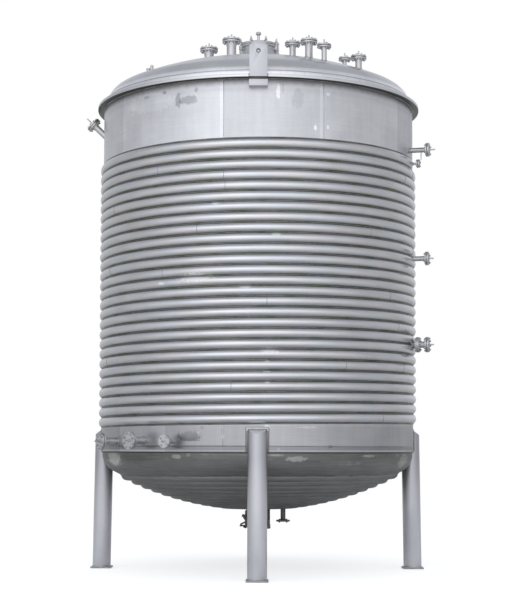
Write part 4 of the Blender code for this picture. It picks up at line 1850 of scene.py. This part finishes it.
@dataclass
class FlangedNozzle:
    """A neck with its welding flange, a gasket, a blind cover, bolts and a stud for a handle."""

    finishes: Finishes
    node: str
    size: Size
    root: Vector
    direction: Vector
    length: float
    stud: float = 0.060
    stud_radius: float = 0.009
    gasket: float = 0.003
    bead: Matrix | None = None
    collar: Pair | None = None
    sides: int = 40
    turn_bolts: float = 22.5

    def neck_line(self) -> Line:
        """Neck, hub and flange, from the root to the joint.

        Returns:
            A line of radius and distance from the root.
        """
        size = self.size
        back = self.length - 2.0 * size.plate
        joint = self.length - size.plate - self.gasket / 2.0
        hub = min(size.neck * 0.9, back * 0.4)
        face = size.circle - size.thread * 1.9
        line = [(0.0, 0.0), (size.neck, 0.0)]
        if self.collar:
            low, high = self.collar
            middle = (low + high) / 2.0
            edge = edge_line(size.flange, low, high)
            gap = [(size.flange, middle - 0.002), (face, middle - 0.002), (face, middle + 0.002),
                   (size.flange, middle + 0.002)]
            line += [(size.neck, low), *edge[:2], *gap, *edge[2:], (size.neck, high)]
            hub = (back - high) * 0.5
        line += [(size.neck, back - hub), (size.neck * 1.22, back)]
        return line + edge_line(size.flange, back, joint - 0.002) + [
            (face, joint - 0.002), (face, joint), (0.0, joint)
        ]

    def cover_line(self) -> Line:
        """Blind cover with a raised face under it and the stud on it.

        Returns:
            A line of radius and distance from the root.
        """
        size = self.size
        joint = self.length - size.plate + self.gasket / 2.0
        face = size.circle - size.thread * 1.9
        top, tip, stud = self.length, self.length + self.stud, self.stud_radius
        return [
            (0.0, joint), (face, joint), (face, joint + 0.002), *edge_line(size.flange, joint + 0.002, top),
            (stud * 1.7, top), (stud * 1.7, top + 0.010), (stud, top + 0.012), (stud, tip - 0.002),
            (stud - 0.002, tip), (0.0, tip),
        ]

    def build(self) -> None:
        """Turn the metal parts, then add the gasket, the bolts and the weld at the root."""
        size = self.size
        place = aim(self.root, self.direction)
        neck = turn("neck", self.neck_line(), self.sides)
        cover = turn("cover", self.cover_line(), self.sides)
        body = put(joined([neck, cover], self.node + "_body"), place)
        dress(smooth(body), self.finishes.fitting, Slot.FITTING, self.node)
        joint = self.length - size.plate
        half = self.gasket / 2.0
        face = size.circle - size.thread * 1.9
        line = box_line(0.0, face + 0.001, joint - half, joint + half)
        ring = put(turn(self.node + "_gasket", line, self.sides), place)
        dress(smooth(ring), self.finishes.gasket, Slot.FITTING)
        levels = [joint] + ([sum(self.collar) / 2.0] if self.collar else [])
        bolt = StudBolt(size.thread, 2.0 * size.plate).build()
        places = [
            place @ spot for level in levels
            for spot in circle_places(size.bolts, size.circle, level, self.turn_bolts)
        ]
        bolts = repeated(bolt, places, self.node + "_bolts")
        dress(smooth(bolts), self.finishes.bolt, Slot.FITTING)
        if self.bead is not None:
            ring = bead_ring(self.node + "_weld", size.neck + 0.001, 0.006, self.bead)
            dress(ring, self.finishes.weld, Slot.FITTING)


@dataclass
class Nozzles:
    """Every flanged nozzle on the vessel."""

    finishes: Finishes
    root_depth: float = 0.030
    side_bearing: float = 75.0
    side_reach: float = 2.1184
    coil_crest: float = 1.9366
    stud: float = 0.060
    slant: float = 44.0
    slant_height: float = 5.318
    slant_length: float = 0.230
    slant_depth: float = 0.020
    slant_stud: float = 0.097
    vent_stud: float = 0.012
    link_reach: float = 2.030
    link: Pair = (4.93, 5.035)

    def on_top(self) -> None:
        """Nozzles that stand on the top head."""
        rows = (
            ("top_nozzle_1", Size.DN100, -0.608, -0.200, 6.370),
            ("top_nozzle_2", Size.DN100, -0.325, -0.620, 6.370),
            ("top_nozzle_3", Size.DN65, 0.407, -0.800, 6.285),
            ("top_nozzle_4", Size.DN80, 0.590, -1.100, 6.235),
            ("top_nozzle_5", Size.DN50, 0.760, -1.300, 6.130),
            ("top_nozzle_6", Size.DN40, 1.055, -0.300, 6.230),
            ("top_nozzle_7", Size.DN65, 1.173, -1.080, 6.050),
        )
        for name, size, x, y, face in rows:
            surface = top_height(math.hypot(x, y))
            root = Vector((x, y, surface - self.root_depth))
            bead = aim(Vector((x, y, surface)), top_normal(x, y))
            FlangedNozzle(self.finishes, name, size, root, UP, face - root.z, bead=bead).build()

    def on_wall(self) -> None:
        """Nozzles on the plain bands and the inclined one on the left."""
        rows = (
            ("side_nozzle_upper", Size.DN50, self.side_bearing, 5.049, 2.130, 0.0696),
            ("low_nozzle_1", Size.DN80, -59.0, 1.535, 2.128, self.stud),
            ("low_nozzle_2", Size.DN80, -43.0, 1.543, 2.130, self.stud),
            ("low_nozzle_3", Size.DN40, -30.0, 1.535, 2.080, self.stud),
        )
        start = SHELL_RADIUS - 0.008
        for name, size, bearing, height, reach, stud in rows:
            root = around(start, bearing, height)
            out = outward(bearing)
            bead = aim(around(SHELL_RADIUS, bearing, height), out)
            FlangedNozzle(self.finishes, name, size, root, out, reach - start, stud, bead=bead).build()
        lean = math.radians(self.slant)
        out = outward(-90.0)
        way = out * math.cos(lean) + UP * math.sin(lean)
        foot = around(SHELL_RADIUS, -90.0, self.slant_height)
        FlangedNozzle(
            self.finishes, "slanted_nozzle", Size.DN65, foot - way * self.slant_depth, way,
            self.slant_length, self.slant_stud, bead=aim(foot, out),
        ).build()

    def on_coils(self) -> None:
        """Nozzles that feed the coils, and the small vent."""
        rows = (
            ("side_nozzle_middle", Size.DN50, 3.735, self.side_reach, None),
            ("side_nozzle_lower", Size.DN65, 2.700, self.side_reach, (0.038, 0.076)),
            ("coil_vent_nozzle", Size.DN20, 4.886, 2.012, None),
        )
        start = self.coil_crest - 0.008
        out = outward(self.side_bearing)
        for name, size, height, reach, collar in rows:
            root = around(start, self.side_bearing, height)
            stud = self.stud if size is not Size.DN20 else self.vent_stud
            bead = aim(around(self.coil_crest - 0.002, self.side_bearing, height), out)
            FlangedNozzle(
                self.finishes, name, size, root, out, reach - start, stud=stud, bead=bead,
                stud_radius=min(0.009, size.neck * 0.4), collar=collar,
            ).build()
        start, end = (around(self.link_reach, self.side_bearing, height) for height in self.link)
        link = rod("vent_link", start, end, 0.006, 12)
        dress(smooth(link), self.finishes.fitting, Slot.FITTING)

    def build(self) -> None:
        """Build all the nozzles."""
        self.on_top()
        self.on_wall()
        self.on_coils()


@dataclass
class Manhole:
    """Neck and ring, cover with its knob, swing bolts and a hinge."""

    finishes: Finishes
    centre: Vector
    radius: float = 0.203
    bore: float = 0.191
    face: float = 6.385
    ring: float = 0.228
    ring_thickness: float = 0.022
    lid: float = 0.2335
    lid_thickness: float = 0.030
    knob_top: float = 6.573
    bolts: int = 8
    sides: int = 72

    def neck(self) -> None:
        """Hollow neck with its ring."""
        root = top_height(0.2) - 0.030
        low = self.face - self.ring_thickness
        line = [
            (self.ring, self.face), (self.ring, low), (self.radius, low), (self.radius, root),
            (self.bore, root), (self.bore, self.face),
        ]
        item = turn("manhole_collar", line, self.sides, closed=True)
        soften(item, 0.002)
        put(item, Matrix.Translation(self.centre))
        dress(smooth(item), self.finishes.fitting, Slot.FITTING, "manhole_neck")
        spot = self.centre + UP * (top_height(self.centre.length) - 0.001)
        normal = top_normal(self.centre.x, self.centre.y)
        ring = bead_ring("manhole_weld", self.radius + 0.002, 0.007, aim(spot, normal), self.sides)
        dress(ring, self.finishes.weld, Slot.FITTING)

    def cover(self) -> None:
        """Pressed cover with a rolled edge, and the knob in its middle."""
        low = self.face + 0.0003
        high = low + self.lid_thickness
        head = self.knob_top
        line = [
            (0.0, low), (self.lid - 0.004, low), (self.lid, low + 0.004), (self.lid, high - 0.010),
            (self.lid - 0.004, high - 0.003), (self.lid - 0.014, high), (self.lid - 0.030, high - 0.002),
            (self.lid - 0.045, high - 0.006), (0.110, high + 0.001), (0.050, high + 0.004),
            (0.026, high + 0.005), (0.024, high + 0.014), (0.016, high + 0.018), (0.016, head - 0.044),
            (0.024, head - 0.040), (0.033, head - 0.030), (0.034, head - 0.020), (0.030, head - 0.008),
            (0.020, head - 0.001), (0.0, head),
        ]
        item = put(turn("manhole_cover", line, self.sides), Matrix.Translation(self.centre))
        dress(smooth(item, 50.0), self.finishes.fitting, Slot.FITTING, "manhole_lid")

    def clamps(self) -> None:
        """Swing bolts round the ring, each in a pair of ears."""
        x = self.ring + 0.008
        ears = [
            block("ear", (x - 0.038, y - 0.004, -0.060), (x + 0.014, y + 0.004, -0.006), 0.002)
            for y in (-0.016, 0.016)
        ]
        pin = rod("pin", (x, -0.024, -0.040), (x, 0.024, -0.040), 0.007, 12)
        shank = rod("shank", (x, 0.0, -0.052), (x, 0.0, 0.082), 0.008, 12)
        bridge = block("bridge", (self.lid - 0.026, -0.014, self.lid_thickness),
                       (x + 0.016, 0.014, self.lid_thickness + 0.008), 0.002)
        top = (x, 0.0, self.lid_thickness + 0.018)
        nut = soften(cylinder("nut", 0.016, 0.020, top, 6), 0.0015, 70.0)
        clamp = joined(ears + [pin, shank, bridge, nut], "clamp")
        middle = Matrix.Translation(self.centre + UP * self.face)
        places = [middle @ spot for spot in circle_places(self.bolts, 0.0, 0.0, 22.5)]
        item = repeated(clamp, places, "manhole_swing_bolts")
        dress(smooth(item), self.finishes.bolt, Slot.FITTING)

    def hinge(self) -> None:
        """Hinge block on the right, with its strap over the cover."""
        x, y, z = self.centre + UP * self.face
        edge = x + self.ring
        upright = block("hinge", (edge + 0.002, y - 0.030, z - 0.085),
                        (edge + 0.026, y + 0.030, z + 0.050), 0.003)
        strap = block("strap", (x + 0.120, y - 0.022, z + 0.0265),
                      (edge + 0.020, y + 0.022, z + 0.040), 0.003)
        pin = rod("pin", (edge + 0.014, y - 0.042, z + 0.036), (edge + 0.014, y + 0.042, z + 0.036), 0.009)
        item = joined([upright, strap, pin], "manhole_hinge")
        dress(smooth(item), self.finishes.fitting, Slot.FITTING)

    def build(self) -> None:
        """Build the manhole."""
        self.neck()
        self.cover()
        self.clamps()
        self.hinge()


@dataclass
class Underside:
    """Outlet neck and valve in the middle, and the small drain beside them."""

    finishes: Finishes
    radius: float = 0.1365
    flange: float = 0.152
    plate: float = 0.024
    joint: float = 0.560
    gasket: float = 0.003
    circle: float = 0.1435
    bolts: int = 12
    valve_low: float = 0.470
    valve_radius: float = 0.095
    handle_z: float = 0.515
    drain: Pair = (0.312, -0.200)
    drain_low: float = 0.575

    def outlet(self) -> None:
        """Neck with its flange, the valve body and the bolts between them."""
        root = bottom_height(0.0) + 0.008
        low = self.joint + self.gasket / 2.0
        line = [
            (0.0, root), (self.radius, root), (self.radius, low + self.plate),
            *edge_line(self.flange, low + self.plate, low), (0.0, low),
        ]
        dress(smooth(turn("outlet_collar", line, 56)), self.finishes.outlet, Slot.OUTLET, "outlet_neck")
        high, foot, stem = self.joint - self.gasket / 2.0, self.valve_low, self.valve_radius
        line = [
            (0.0, high), *edge_line(self.flange, high, high - self.plate),
            (self.radius - 0.014, high - self.plate - 0.004), (self.radius - 0.026, foot + 0.030),
            (stem, foot + 0.012), (stem, foot + 0.002), (stem - 0.002, foot), (0.0, foot),
        ]
        dress(smooth(turn("valve_body", line, 56)), self.finishes.outlet, Slot.OUTLET, "outlet_valve")
        line = box_line(0.0, self.radius - 0.012, high, low)
        dress(turn("outlet_gasket", line, 56), self.finishes.gasket, Slot.OUTLET)
        bolt = StudBolt(0.005, 2.0 * self.plate).build()
        places = circle_places(self.bolts, self.circle, self.joint, 180.0 / self.bolts)
        dress(smooth(repeated(bolt, places, "outlet_bolts")), self.finishes.outlet, Slot.OUTLET)

    def side_parts(self) -> None:
        """Small pipe and clamp beside the outlet's neck, and the drain pipe and gear case opposite."""
        rows = (
            ((-0.146, 0.0, 0.628), (-0.186, 0.0, 0.640), 0.018, 6),
            ((-0.176, 0.0, 0.640), (-0.134, 0.0, 0.572), 0.013, 16),
            ((-0.134, 0.0, 0.700), (-0.134, 0.0, 0.490), 0.016, 16),
            ((-0.206, 0.0, 0.529), (-0.140, 0.0, 0.560), 0.010, 16),
            ((-0.170, 0.0, 0.511), (-0.130, 0.0, 0.492), 0.017, 8),
            ((0.142, 0.0, 0.760), (0.142, 0.0, 0.520), 0.015, 16),
        )
        parts = [rod("part", *row) for row in rows]
        dress(smooth(joined(parts, "outlet_side_parts")), self.finishes.outlet, Slot.OUTLET)
        case = block("valve_gear_case", (0.080, -0.042, 0.478), (0.162, 0.042, 0.535), 0.012)
        dress(smooth(case), self.finishes.outlet, Slot.OUTLET)

    def lever(self) -> None:
        """Hand lever on the valve, towards the left."""
        height = self.handle_z
        hub = rod("hub", (-0.100, 0.0, height), (-0.135, 0.0, height), 0.017, 20)
        bar = rod("bar", (-0.128, 0.0, height), (-0.215, 0.0, height), 0.0085, 16)
        bpy.ops.object.select_all(action="DESELECT")
        bpy.ops.mesh.primitive_uv_sphere_add(
            segments=20, ring_count=12, radius=0.016, location=(-0.199, 0.0, self.handle_z)
        )
        ball = added("ball")
        ball.scale = (1.0, 0.8, 0.8)
        settle(ball)
        dress(smooth(joined([hub, bar, ball], "valve_lever")), self.finishes.outlet, Slot.OUTLET)

    def small_drain(self) -> None:
        """Drain neck with its flange pair under the head."""
        x, y = self.drain
        size = Size.DN50
        top = bottom_height(math.hypot(x, y)) + 0.008
        face = self.drain_low + size.plate
        line = [
            (0.0, top), (size.neck, top), (size.neck, face + 0.016), (size.neck * 1.25, face),
            *edge_line(size.flange, face, self.drain_low), (0.0, self.drain_low),
        ]
        place = Matrix.Translation((x, y, 0.0))
        item = put(turn("drain_body", line, 40), place)
        dress(smooth(item), self.finishes.outlet, Slot.OUTLET, "drain_nozzle")
        bolt = StudBolt(0.006, size.plate).build()
        spots = circle_places(size.bolts, size.circle, self.drain_low + size.plate / 2.0, 45.0)
        places = [place @ spot for spot in spots]
        dress(smooth(repeated(bolt, places, "drain_bolts")), self.finishes.outlet, Slot.OUTLET)

    def build(self) -> None:
        """Build what hangs under the bottom head."""
        self.outlet()
        self.side_parts()
        self.lever()
        self.small_drain()


@dataclass
class Trim:
    """Small parts: the bare plate on the lower band and two couplings on the top head."""

    finishes: Finishes
    plate_bearing: float = -23.8
    plate_low: float = 1.541
    plate_high: float = 1.647
    plate_width: float = 0.270
    plate_rise: float = 0.003
    rivet_inset: float = 0.014

    def bare_plate(self) -> None:
        """Plain plate without any lettering, on the lower band, with its rivets."""
        radius = SHELL_RADIUS
        line = box_line(radius - 0.001, radius + self.plate_rise, self.plate_low, self.plate_high)
        half = math.degrees(self.plate_width / 2.0 / radius)
        item = sweep("bare_plate", line, self.plate_bearing - half, 2.0 * half, 8)
        soften(item, 0.001)
        dress(smooth(item), self.finishes.plate, Slot.SHELL)
        line = [(0.0, 0.0), (0.005, 0.0), (0.0045, 0.002), (0.0025, 0.003), (0.0, 0.0033)]
        rivet = turn("rivet", line, 12)
        places = []
        for way in (-1.0, 1.0):
            for height in (self.plate_low + self.rivet_inset, self.plate_high - self.rivet_inset):
                bearing = self.plate_bearing + way * (half - 0.42)
                foot = around(radius + self.plate_rise - 0.0005, bearing, height)
                places.append(aim(foot, outward(bearing)))
        item = repeated(rivet, places, "plate_rivets")
        dress(smooth(item, 60.0), self.finishes.bolt, Slot.SHELL)

    def couplings(self) -> None:
        """Two short capped couplings near the left edge of the top head."""
        pieces = []
        for x, y, radius, height in ((-1.292, -1.010, 0.028, 0.034), (-1.248, -1.085, 0.020, 0.056)):
            line = [
                (0.0, 0.0), (radius * 0.85, 0.0), (radius * 0.85, height * 0.55), (radius, height * 0.60),
                (radius, height * 0.92), (radius * 0.9, height), (radius * 0.4, height),
                (radius * 0.35, height * 1.18), (0.0, height * 1.2),
            ]
            foot = top_height(math.hypot(x, y)) - 0.012
            pieces.append(put(turn("coupling", line, 24), Matrix.Translation((x, y, foot))))
        dress(smooth(joined(pieces, "top_couplings")), self.finishes.fitting, Slot.FITTING)

    def build(self) -> None:
        """Build the small parts."""
        self.bare_plate()
        self.couplings()


# Studio


@dataclass
class Studio:
    """Pale floor, soft light and the camera of the photograph."""

    distance: float = 18.76
    eye: float = 1.485
    pitch: float = 3.24
    lens: float = 91.7
    roll: float = -0.16
    shift: Pair = (0.0035, 0.0992)
    floor: float = 400.0
    bright_bearing: float = -7.0
    back_bearing: float = 175.0
    zenith: float = 0.50
    horizon: float = 0.56
    glow: float = 0.92
    back_glow: float = 0.30
    floor_fade: Pair = (3.2, 13.0)
    key_size: Pair = (10.0, 8.0)
    key_power: float = 60.0
    key_place: Triple = (-6.0, -15.0, 8.0)
    key_aim: Triple = (0.0, 0.0, 3.2)

    def camera(self) -> None:
        """Camera at eye level in front of the tank."""
        data = bpy.data.cameras.new("camera")
        data.lens = self.lens
        data.sensor_width = 36.0
        data.shift_x, data.shift_y = self.shift
        data.clip_end = 2000.0
        item = bpy.data.objects.new("camera", data)
        item.location = (0.0, -self.distance, self.eye)
        item.rotation_euler = (math.radians(90.0 + self.pitch), math.radians(self.roll), 0.0)
        bpy.context.scene.collection.objects.link(item)
        bpy.context.scene.camera = item

    def ground(self) -> None:
        """Pale floor that brightens to plain white far from the tank."""
        bpy.ops.object.select_all(action="DESELECT")
        bpy.ops.mesh.primitive_plane_add(size=self.floor)
        item = added("floor")
        kit = Recipe("pale_floor", 0.0, 0.9)
        kit.tree.nodes.remove(kit.shader)
        grey = kit.blend(kit.noise(0.4), (0.72, 0.72, 0.72), (0.76, 0.76, 0.76))
        matt = kit.node("ShaderNodeBsdfDiffuse", {"Color": grey}).outputs["BSDF"]
        lift = kit.node("ShaderNodeEmission", {"Strength": kit.product(kit.camera_ray(), 0.62)})
        near = kit.node("ShaderNodeAddShader", {0: matt, 1: lift.outputs["Emission"]}).outputs["Shader"]
        shine = kit.spread(kit.lobe(self.bright_bearing, 3.0), 0.0, 1.0, 0.56, 1.15)
        white = kit.node("ShaderNodeEmission", {"Strength": kit.largest(shine, kit.camera_ray())})
        reach = kit.spread(kit.from_axis(), *self.floor_fade, 0.0, 1.0, True)
        far = kit.node("ShaderNodeMixShader", {"Fac": reach, 1: near, 2: white.outputs["Emission"]})
        kit.feed(kit.tree.nodes["Material Output"].inputs["Surface"], far.outputs["Shader"])
        item.data.materials.append(kit.material)

    def sky(self) -> None:
        """Soft light from all round, with a wide glow in front and a weaker one behind."""
        world = bpy.data.worlds.new("studio")
        world.use_nodes = True
        bpy.context.scene.world = world
        kit = Graph(world.node_tree, "Generated")
        height = kit.part("Z")
        ahead = kit.spread(height, 0.42, 0.92, self.glow, 0.0, True)
        behind = kit.spread(height, 0.35, 0.80, self.back_glow, 0.0, True)
        glow = kit.total(kit.product(kit.lobe(self.bright_bearing, 2.8), ahead),
                         kit.product(kit.lobe(self.back_bearing, 5.0), behind))
        base = kit.spread(height, 0.0, 1.0, self.horizon, self.zenith, True)
        soft = kit.tree.nodes["Background"]
        kit.feed(soft.inputs["Color"], (0.96, 0.985, 1.045, 1.0))
        kit.feed(soft.inputs["Strength"], kit.total(base, glow))
        white = kit.node("ShaderNodeBackground", {"Color": (1.0, 1.0, 1.0, 1.0)}).outputs["Background"]
        mix = kit.node("ShaderNodeMixShader", {0: kit.camera_ray(), 1: soft.outputs["Background"], 2: white})
        kit.feed(kit.tree.nodes["World Output"].inputs["Surface"], mix.outputs["Shader"])

    def key(self) -> None:
        """Large weak softbox in front, a little left of the camera."""
        data = bpy.data.lights.new("key", "AREA")
        data.shape = "RECTANGLE"
        data.size, data.size_y = self.key_size
        data.energy = self.key_power
        item = bpy.data.objects.new("key", data)
        item.location = self.key_place
        way = Vector(self.key_aim) - item.location
        item.rotation_euler = way.to_track_quat("-Z", "Y").to_euler()
        bpy.context.scene.collection.objects.link(item)

    def build(self) -> None:
        """Set up camera, floor and light."""
        bpy.context.scene.view_settings.view_transform = "Standard"
        self.camera()
        self.ground()
        self.sky()
        self.key()


def main() -> None:
    """Build the dressed tank in order and report each piece."""
    logging.basicConfig(level=logging.INFO, format="%(message)s", stream=sys.stdout)
    Studio().build()
    finishes = Finishes()
    Vessel(finishes).build()
    zones = (
        ("half_pipe_lower", "coil_lower", -85.0, 8 * 360.0 + 95.0),
        ("half_pipe_middle", "coil_middle", 8 * 360.0 + 105.0, 17 * 360.0 + 95.0),
        ("half_pipe_upper", "coil_upper", 17 * 360.0 + 105.0, 26 * 360.0 + 75.0),
    )
    for name, node, first, last in zones:
        WallCoil(finishes, name, node, first, last).build()
    ButtWelds(finishes).build()
    BottomCoil(finishes).build()
    for side, bearing in (("front", 0.0), ("right", 90.0), ("back", 180.0), ("left", 270.0)):
        Leg(finishes, side, bearing).build()
    LiftingLug(finishes, "front", 0.0).build()
    LiftingLug(finishes, "back", 180.0).build()
    Nozzles(finishes).build()
    Manhole(finishes, Vector((0.0, -0.200, 0.0))).build()
    Underside(finishes).build()
    Trim(finishes).build()
    bpy.ops.object.select_all(action="DESELECT")


if __name__ == "__main__":
    main()
